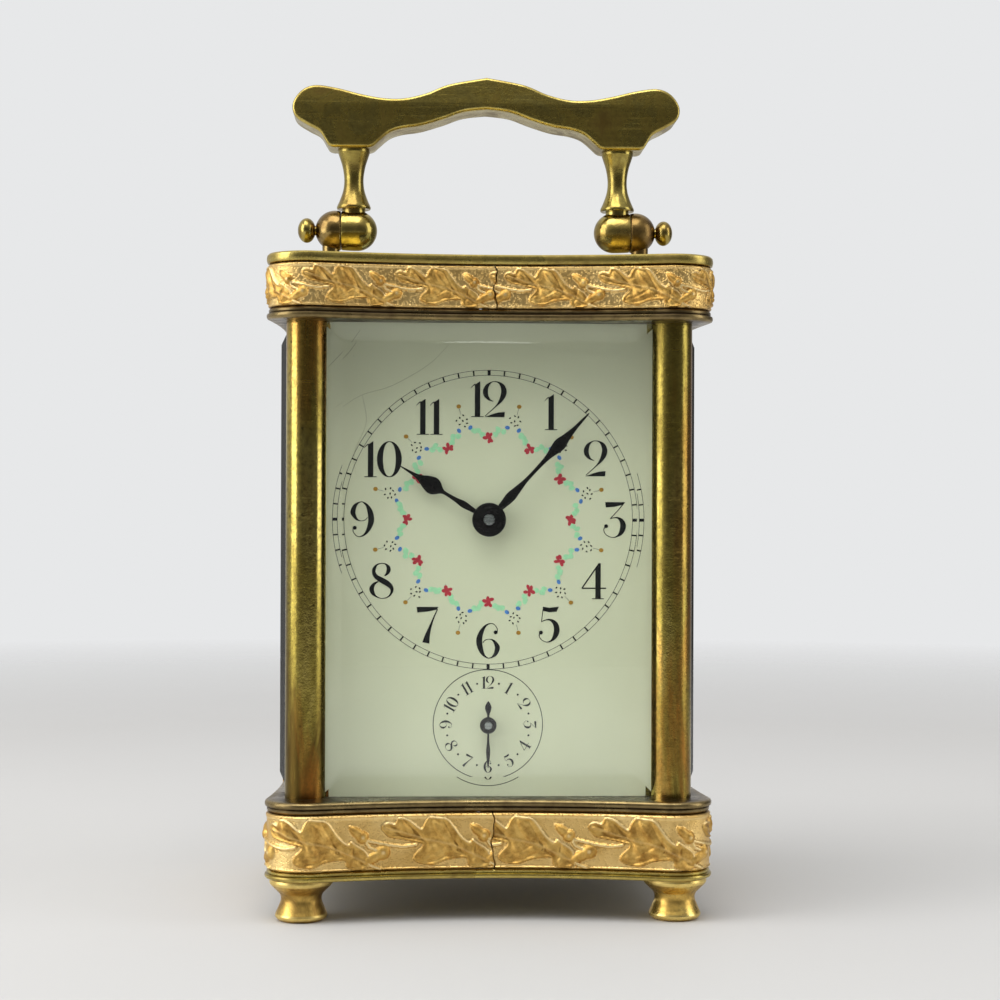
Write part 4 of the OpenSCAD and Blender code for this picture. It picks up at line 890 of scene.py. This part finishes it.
GLYPHS = {
    "0": {"strokes": [BOWL_0]},
    "1": {
        "shapes": [
            [(-0.075, -0.5), (0.075, -0.5), (0.075, 0.5), (-0.075, 0.4)],
            [(-0.17, -0.5), (0.17, -0.5), (0.17, -0.478), (-0.17, -0.478)],
        ],
        "strokes": [[(-0.06, 0.415, 0.035), (-0.12, 0.375, 0.022), (-0.18, 0.31, 0.012)]],
    },
    "2": {
        "strokes": [
            [(-0.04, -0.06, 0.015), (-0.14, -0.02, 0.05), (-0.235, 0.09, 0.12), (-0.26, 0.22, 0.14),
             (-0.215, 0.36, 0.1), (-0.11, 0.46, 0.035), (0, 0.488, HAIR), (0.12, 0.455, 0.05),
             (0.215, 0.36, 0.12), (0.255, 0.22, 0.15), (0.225, 0.08, 0.14), (0.15, -0.06, 0.09),
             (0.04, -0.19, 0.035), (-0.12, -0.34, HAIR), (-0.27, -0.475, HAIR)],
        ],
        "shapes": [
            [(-0.29, -0.5), (0.27, -0.5), (0.28, -0.355), (0.1, -0.37), (-0.06, -0.415), (-0.2, -0.47)],
        ],
    },
    "3": {
        "shapes": [[(-0.255, 0.5), (-0.24, 0.35), (0, 0.37), (0.2, 0.42), (0.3, 0.5)]],
        "strokes": [
            [(0.28, 0.49, 0.03), (0.1, 0.27, HAIR), (-0.115, 0.04, HAIR)],
            [(-0.115, 0.04, HAIR), (0, 0.065, 0.025), (0.1, 0.06, 0.05), (0.2, -0.02, 0.12),
             (0.245, -0.16, 0.16), (0.2, -0.33, 0.13), (0.1, -0.44, 0.05), (-0.03, -0.485, HAIR),
             (-0.17, -0.45, HAIR), (-0.27, -0.36, HAIR), (-0.295, -0.26, HAIR), (-0.26, -0.2, 0.03)],
        ],
        "dots": [(-0.23, -0.17, 0.055)],
    },
    "4": {
        "shapes": [
            [(0.03, -0.5), (0.18, -0.5), (0.18, 0.5), (0.12, 0.5), (0.03, 0.34)],
            [(-0.35, -0.215), (0.33, -0.215), (0.33, -0.18), (-0.35, -0.18)],
            [(-0.06, -0.5), (0.27, -0.5), (0.27, -0.478), (-0.06, -0.478)],
        ],
        "strokes": [[(0.13, 0.49, 0.035), (-0.34, -0.19, 0.035)]],
    },
    "5": {
        "shapes": [
            [(-0.165, 0.5), (0.02, 0.47), (0.28, 0.5), (0.22, 0.36), (0.02, 0.345), (-0.165, 0.385)],
        ],
        "strokes": [
            [(-0.155, 0.45, 0.025), (-0.18, 0.25, HAIR), (-0.2, 0.07, HAIR)],
            [(-0.2, 0.08, HAIR), (-0.08, 0.13, 0.03), (0.05, 0.13, 0.06), (0.18, 0.03, 0.13),
             (0.225, -0.14, 0.16), (0.18, -0.32, 0.13), (0.07, -0.45, 0.05), (-0.06, -0.485, HAIR),
             (-0.19, -0.43, HAIR), (-0.26, -0.33, HAIR), (-0.25, -0.25, 0.03)],
        ],
        "dots": [(-0.215, -0.22, 0.055)],
    },
    "6": SIX,
    "7": {
        "shapes": [[(-0.3, 0.5), (-0.28, 0.345), (0, 0.37), (0.25, 0.42), (0.31, 0.5)]],
        "strokes": [
            [(0.28, 0.44, 0.03), (0.17, 0.19, 0.04), (0.07, -0.08, 0.08), (0, -0.3, 0.14),
             (-0.04, -0.5, 0.2)],
        ],
    },
    "8": {
        "strokes": [
            [(0, 0.487, HAIR), (-0.13, 0.45, 0.04), (-0.21, 0.35, 0.09), (-0.23, 0.24, 0.1),
             (-0.17, 0.12, 0.12), (-0.02, 0.02, 0.15), (0.14, -0.07, 0.15), (0.25, -0.17, 0.12),
             (0.275, -0.28, 0.08), (0.22, -0.4, 0.045), (0.12, -0.47, 0.025), (0.02, -0.487, HAIR)],
            [(0, 0.487, HAIR), (0.1, 0.46, 0.04), (0.17, 0.38, 0.1), (0.18, 0.29, 0.115), (0.14, 0.2, 0.08),
             (0.07, 0.14, 0.03)],
            [(-0.1, -0.02, 0.03), (-0.22, -0.09, 0.08), (-0.285, -0.21, 0.13), (-0.26, -0.33, 0.11),
             (-0.17, -0.43, 0.045), (-0.05, -0.483, HAIR), (0.02, -0.487, HAIR)],
        ],
    },
    "9": NINE,
}
# Where each digit of a two-digit numeral stands, in units of its height.
PAIRS = {"10": (-0.39, 0.13), "11": (-0.19, 0.19), "12": (-0.32, 0.16)}


def write_numeral(layer, text, centre, height, degrees=0.0):
    """Digits side by side, turned clockwise by an angle about their middle."""
    a = -math.radians(degrees)
    turn = np.array([[math.cos(a), math.sin(a)], [-math.sin(a), math.cos(a)]])
    for digit, shift in zip(text, PAIRS.get(text, (0,))):

        def place(p, shift=shift):
            return (np.array(p, float) + [shift, 0]) * height @ turn + centre

        glyph = GLYPHS[digit]
        for line in glyph.get("strokes", ()):
            layer.stroke(line, place)
        for flat in glyph.get("shapes", ()):
            layer.shape(place(flat).tolist())
        for x, y, radius in glyph.get("dots", ()):
            px, pz = place([(x, y)])[0]
            layer.blob(px, pz, radius * height, radius * height)


TRACK_R = (28.5, 29.5)
NUMERAL_R = (24.6, 24.4, 24.9, 24.2, 23.9, 23.9, 24, 24.2, 24.9, 23.7, 23.4, 23.8)
NUMERAL_H = 7.1
ROSE_R = 16.2
# Festoons: (degrees from the rose, radius) of leaves, and of the seeds between two roses.
LEAVES_AT = ((4.6, 16.9), (-4.6, 16.9), (6.2, 17.7), (-6.2, 17.7), (9.3, 17.6), (-9.3, 17.6))
SEEDS_AT = (
    (-1.9, 19.6), (1.9, 19.6), (-2.9, 20.4), (2.9, 20.4), (0, 20.1), (-1.2, 21), (1.2, 21.1), (0.2, 19.1),
)
BLOSSOM_R = 18.5
BUD_R = 23.1
ALARM_TRACK_R = 10.8
ALARM_NUMERAL_R = 8.3
ALARM_NUMERAL_H = 2.5


def festoon(base, ink, line, rose, leaf, blossom, bud):
    """A rose with its leaves on an hour's line, and the blossoms, seeds and bud that follow it."""
    x, z = on_dial(DIAL_Z, base, ROSE_R)
    for k in range(6):
        a = k * 1.13 + rng.uniform(-0.35, 0.35) + base / 30
        r = (0.62 if k else 0) + rng.uniform(0, 0.14)
        length, width = rng.uniform(0.46, 0.58), rng.uniform(0.32, 0.4)
        turn = a + rng.uniform(-0.6, 0.6)
        rose.blob(x + r * math.cos(a), z + r * math.sin(a), length, width, turn, 9)
    for offset, radius in LEAVES_AT:
        degrees = base + offset + rng.uniform(-0.4, 0.4)
        gx, gz = on_dial(DIAL_Z, degrees, radius + rng.uniform(-0.2, 0.2))
        tilt = math.radians(90 - base - offset * 3 + rng.uniform(-25, 25))
        leaf.blob(gx, gz, rng.uniform(0.56, 0.68), rng.uniform(0.44, 0.54), tilt, 9)
        leaf.blob(gx + rng.uniform(-0.3, 0.3), gz + rng.uniform(-0.4, 0.4), 0.48, 0.38, tilt + 1, 8)
    middle = base + 15
    for offset in (-3.6, 3.6):
        bx, bz = on_dial(DIAL_Z, middle + offset, BLOSSOM_R + rng.uniform(-0.15, 0.15))
        blossom.blob(bx, bz, 0.5, 0.38, rng.uniform(0, 3), 10)
    for offset, radius in SEEDS_AT:
        degrees = middle + offset + rng.uniform(-0.4, 0.4)
        dx, dz = on_dial(DIAL_Z, degrees, radius + rng.uniform(-0.15, 0.15))
        ink.blob(dx, dz, 0.23, 0.14, rng.uniform(0, 3), 8)
    line.stroke([(*on_dial(DIAL_Z, middle, 21.4), 0.05), (*on_dial(DIAL_Z, middle, 22.6), 0.07)])
    bud.blob(*on_dial(DIAL_Z, middle, BUD_R), 0.46, 0.42, 0, 14)


def paint_dial():
    """Minute track, hour numerals, festoons of roses, and the alarm dial below."""
    layers = [Layer() for _ in range(6)]
    ink, line = layers[:2]
    for radius in TRACK_R:
        line.ring(DIAL_Z, radius, 0.09)
    for minute in range(60):
        width = 0.6 if minute % 15 == 0 else 0.28
        ends = [on_dial(DIAL_Z, minute * 6, r) for r in TRACK_R]
        ink.stroke([(*ends[0], width), (*ends[1], width)])
    for hour, radius in enumerate(NUMERAL_R, 1):
        write_numeral(ink, str(hour), on_dial(DIAL_Z, hour * 30, radius), NUMERAL_H)
    for hour in range(12):
        festoon(hour * 30, *layers)
    line.ring(ALARM_Z, ALARM_TRACK_R, 0.15, 160)
    for hour in range(1, 13):
        inward = 180 if 4 <= hour <= 8 else 0
        place = on_dial(ALARM_Z, hour * 30, ALARM_NUMERAL_R)
        write_numeral(ink, str(hour), place, ALARM_NUMERAL_H, hour * 30 + inward)
        ink.blob(*on_dial(ALARM_Z, hour * 30 + 15, ALARM_NUMERAL_R), 0.2, 0.2, 0, 10)
    names = ("numerals", "fine_lines", "roses", "leaves", "blossoms", "buds")
    for name, layer, material in zip(names, layers, (INK, LINE, ROSE, LEAF, BLOSSOM, BUD)):
        layer.finish("dial_" + name, material)


paint_dial()

# Hairline cracks in the enamel, at the upper left, as (across, up) from the dial's centre.
CRACKS = [
    [(-29, 22, 0.03), (-25, 24.5, 0.05), (-19, 26.4, 0.06), (-12, 30.5, 0.05), (-8, 34.5, 0.03)],
    [(-30.5, 30, 0.05), (-27.5, 33, 0.07), (-25.5, 36, 0.05)],
    [(-25, 24.5, 0.04), (-24.2, 19, 0.05), (-26.5, 13, 0.04), (-26, 8, 0.02)],
]
cracks = Layer()
for line in CRACKS:
    cracks.stroke([(x, DIAL_Z + z, w) for x, z, w in line], steps=6)
cracks.finish("dial_cracks", CRACK)

# ---- hands


def hand(node, body, stations, angle, centre_z, hub):
    """A hand cut from thin steel, slightly domed. stations are (distance out, half width)."""
    y_back = box_mm(node)[1][1]
    curve = catmull(stations, 5)
    a = math.radians(angle)
    out, across = np.array([math.sin(a), math.cos(a)]), np.array([math.cos(a), -math.sin(a)])
    rows = [(-1, 0.35), (-0.85, 0.8), (-0.4, 1), (0, 1.06), (0.4, 1), (0.85, 0.8), (1, 0.35)]
    points = []
    for distance, half in curve:
        for side, share in rows:
            x, z = out * distance + across * half * side
            points.append((x, y_back - HAND_T * share, centre_z + z))
        for side in (1, -1):
            x, z = out * distance + across * half * side
            points.append((x, y_back, centre_z + z))
    n = len(rows) + 2
    faces = grid_faces(len(curve), n, wrap_columns=True)
    faces += [tuple(range(n)), tuple(range(n * (len(curve) - 1), n * len(curve)))]
    boss = lathe([(r, -y_back + t) for r, t in hub], (0, 0, centre_z), "-Y", turns=72)
    points, faces = merge((points, faces), boss)
    piece(node + "_cut", points, faces, BLACK, body, [node], crease=50)


MINUTE = [(2.6, 0.55), (4.2, 0.75), (6.2, 0.98), (8.2, 0.72), (10.8, 0.4), (14.4, 0.38), (17, 0.58),
    (19.4, 1.12), (20.6, 1.2), (22, 0.84), (24.6, 0.42), (27.2, 0.24), (28.7, 0.09)]
HOUR = [(2.6, 0.4), (4, 0.52), (5.85, 0.68), (7.6, 0.45), (9.8, 0.34), (10.8, 0.55), (12, 1.45),
    (13.1, 1.72), (14.4, 1.35), (15.8, 0.7), (17.2, 0.36), (20.5, 0.1)]
ALARM = [(-8.3, 0.08), (-7, 0.26), (-5.1, 0.4), (-3.4, 0.24), (-1.6, 0.2), (1.2, 0.24), (2.1, 0.24),
    (2.9, 0.52), (3.6, 0.63), (4.2, 0.42), (4.75, 0.08)]
HUB = [(0, 0), (3.3, 0), (3.33, 0.2), (3.2, 0.42), (2.9, 0.48), (2.72, 0.34), (2.5, 0.34), (2.36, 0.5),
    (1.9, 0.52), (1.75, 0.4), (1.55, 0.4), (1.4, 0.52), (1.12, 0.52), (1.0, 0.3), (0, 0.3)]
SMALL_HUB = [(0, 0), (1.6, 0), (1.64, 0.2), (1.5, 0.42), (1.0, 0.46), (0.82, 0.3), (0, 0.3)]
HOUR_HUB = [(0, 0), (3.1, 0), (3.2, 0.2), (3.1, 0.4), (0, 0.4)]

HAND_T = 0.34
# Degrees clockwise from the top, as the hands stand at rest.
MINUTE_AT, HOUR_AT, ALARM_AT = 43, 301, 0

hand("minute_hand", "minute_arbor", MINUTE, MINUTE_AT, DIAL_Z, HUB)
hand("hour_hand", "hour_wheel", HOUR, HOUR_AT, DIAL_Z, HOUR_HUB)
hand("alarm_hand", "alarm_arbor", ALARM, ALARM_AT, ALARM_Z, SMALL_HUB)


def arbor_end(name, body, centre_z, y_tip, radius):
    """The polished end of an arbor in a hand: a chamfered collar round a drilled dimple."""
    shape = [(0, -0.9), (1, -0.9), (1, -0.3), (0.86, -0.06), (0.62, 0), (0.4, -0.05), (0.3, -0.16), (0, -0.2)]
    profile = [(radius * share, t - y_tip) for share, t in shape]
    points, faces = lathe(profile, (0, 0, centre_z), "-Y", turns=48)
    piece(name, points, faces, STEEL, body)


arbor_end("minute_collet", "minute_arbor", DIAL_Z, -25.28, 1.12)
arbor_end("alarm_collet", "alarm_arbor", ALARM_Z, -23.78, 0.8)

# ---- CAD pieces that stay

STEEL_NODES = """case_screws setting_arbor going_winding_arbor escape_wheel lever alarm_arbor
alarm_winding_arbor hammer"""
WORKS_NODES = """front_movement_plate back_movement_plate movement_pillars gong_block platform
balance_cock hour_wheel minute_wheel going_barrel second_wheel centre_wheel third_wheel
contrate_wheel balance_wheel alarm_wheel alarm_idler alarm_barrel alarm_escape_wheel"""
KEPT = [
    (COLUMN, "column_brass", "column_front_left column_front_right column_rear_left column_rear_right"),
    (GLASS, "glass", "top_glass front_glass left_glass right_glass door_glass"),
    (ENAMEL, "enamel", "dial"),
    (BRASS, "aged_brass", "door_frame door_knob"),
    (BLUE, "blue_steel", "movement_screws gong hairspring"),
    (STEEL, "steel", STEEL_NODES),
    (WORKS, "movement_brass", WORKS_NODES),
]
for material, slot, nodes in KEPT:
    for node in nodes.split():
        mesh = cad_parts[node].data
        mesh.materials.clear()
        mesh.materials.append(material)

# ---- studio


FLOOR_TONE = (0.615, 0.61, 0.602)
FLOOR_FADE = (0.35, 0.85)
FLOOR_SIDES = 64
SURROUND = srgb(231, 232, 233)
# Brightness of the tent in reflections, by where it stands.
TENT_FRONT = 0.1
TENT_SIDE = 0.62
TENT_RIGHT = 0.2
TENT_TOP = 0.18
# Name, place, width and height, power: two softboxes beside the clock, one above, and a low matt fill.
LAMPS = [
    ("softbox_left", (-0.75, -0.25, 0.35), (0.5, 0.8), 3.8),
    ("softbox_right", (0.8, -0.2, 0.3), (0.4, 0.8), 2.2),
    ("softbox_top", (-0.15, -0.35, 0.95), (0.8, 0.6), 4.8),
    ("fill", (0.1, -1.3, 0.12), (0.8, 0.3), 0.85),
]
LAMP_TARGET = (0, 0, 0.07)
# The camera's place in metres, its lens in millimetres, and its turns in radians.
CAMERA_PLACE = (-0.01518, -0.4336, 0.07946)
CAMERA_LENS = 75.11
YAW, PITCH, ROLL = -0.0423, 0.0042, 0.0035


def floor():
    """A pale disc that fades into the surround."""
    s = Shader("floor")
    away = s.node("ShaderNodeVectorMath", {0: s.place}, operation="LENGTH").outputs["Value"]
    fade = s.ramp(away, list(zip(FLOOR_FADE, (0.0, 1.0))))
    tone = s.ramp(s.noise(9, 3), [(0.3, FLOOR_TONE), (0.7, tuple(c * 0.985 for c in FLOOR_TONE))])
    s.set(Base_Color=tone, Roughness=0.75, Specular_IOR_Level=0.15)
    mesh = bpy.data.meshes.new("floor")
    angles = [2 * math.pi * k / FLOOR_SIDES for k in range(FLOOR_SIDES)]
    mesh.from_pydata([(math.cos(a), math.sin(a), 0) for a in angles], [], [tuple(range(FLOOR_SIDES))])
    mesh.materials.append(s.see_through(fade))
    made = bpy.data.objects.new("floor", mesh)
    bpy.context.scene.collection.objects.link(made)


def tent():
    """The surround: pale where it is seen, and lit like a tent with a dark front in reflections."""
    world = bpy.data.worlds.new("tent")
    bpy.context.scene.world = world
    world.use_nodes = True
    w = Nodes(world.node_tree)
    w.tree.nodes.clear()
    way = w.node("ShaderNodeTexCoord").outputs["Generated"]
    parts = w.node("ShaderNodeSeparateXYZ", {0: way}).outputs

    def slope(part, start, end, low, high):
        inputs = {"Value": parts[part], "From Min": start, "From Max": end, "To Min": low, "To Max": high}
        return w.node("ShaderNodeMapRange", inputs, interpolation_type="SMOOTHSTEP").outputs[0]

    front = slope("Y", -0.96, -0.45, TENT_FRONT, TENT_SIDE)
    right = slope("X", 0.2, 0.9, 1.0, TENT_RIGHT)
    above = slope("Z", 0.15, 0.75, 0.0, TENT_TOP)
    strength = w.maths("ADD", w.maths("MULTIPLY", front, right), above)
    lit = w.node("ShaderNodeBackground", {"Color": (1.0, 0.995, 0.985), "Strength": strength})
    seen = w.node("ShaderNodeBackground", {"Color": SURROUND})
    path = w.node("ShaderNodeLightPath").outputs
    behind = w.maths("GREATER_THAN", parts["Y"], 0.2)
    through = w.maths("MULTIPLY", path["Is Transmission Ray"], behind)
    pale = w.maths("MAXIMUM", path["Is Camera Ray"], through)
    pick = w.node("ShaderNodeMixShader", {0: pale, 1: lit.outputs[0], 2: seen.outputs[0]})
    w.node("ShaderNodeOutputWorld", {"Surface": pick.outputs[0]})


def lamps():
    """Softboxes that face the clock. The fill neither reflects nor shines through glass."""
    for name, place, size, watts in LAMPS:
        lamp = bpy.data.lights.new(name, "AREA")
        lamp.shape = "RECTANGLE"
        lamp.size, lamp.size_y = size
        lamp.energy = watts
        holder = bpy.data.objects.new(name, lamp)
        holder.location = place
        aim = Vector(place) - Vector(LAMP_TARGET)
        holder.rotation_euler = aim.to_track_quat("Z", "Y").to_euler()
        holder.visible_glossy = holder.visible_transmission = name != "fill"
        bpy.context.scene.collection.objects.link(holder)


def camera():
    """A level camera in front of the clock, a little left of its middle."""
    data = bpy.data.cameras.new("camera")
    data.sensor_width = 36
    data.lens = CAMERA_LENS
    data.clip_start, data.clip_end = 0.01, 20
    made = bpy.data.objects.new("camera", data)
    turn = Matrix.Rotation(YAW, 4, "Z") @ Matrix.Rotation(math.pi / 2 + PITCH, 4, "X")
    made.matrix_world = Matrix.Translation(CAMERA_PLACE) @ turn @ Matrix.Rotation(ROLL, 4, "Z")
    bpy.context.scene.collection.objects.link(made)
    bpy.context.scene.camera = made


bpy.context.scene.view_settings.view_transform = "Standard"
bpy.context.scene.view_settings.look = "None"
floor()
tent()
lamps()
camera()
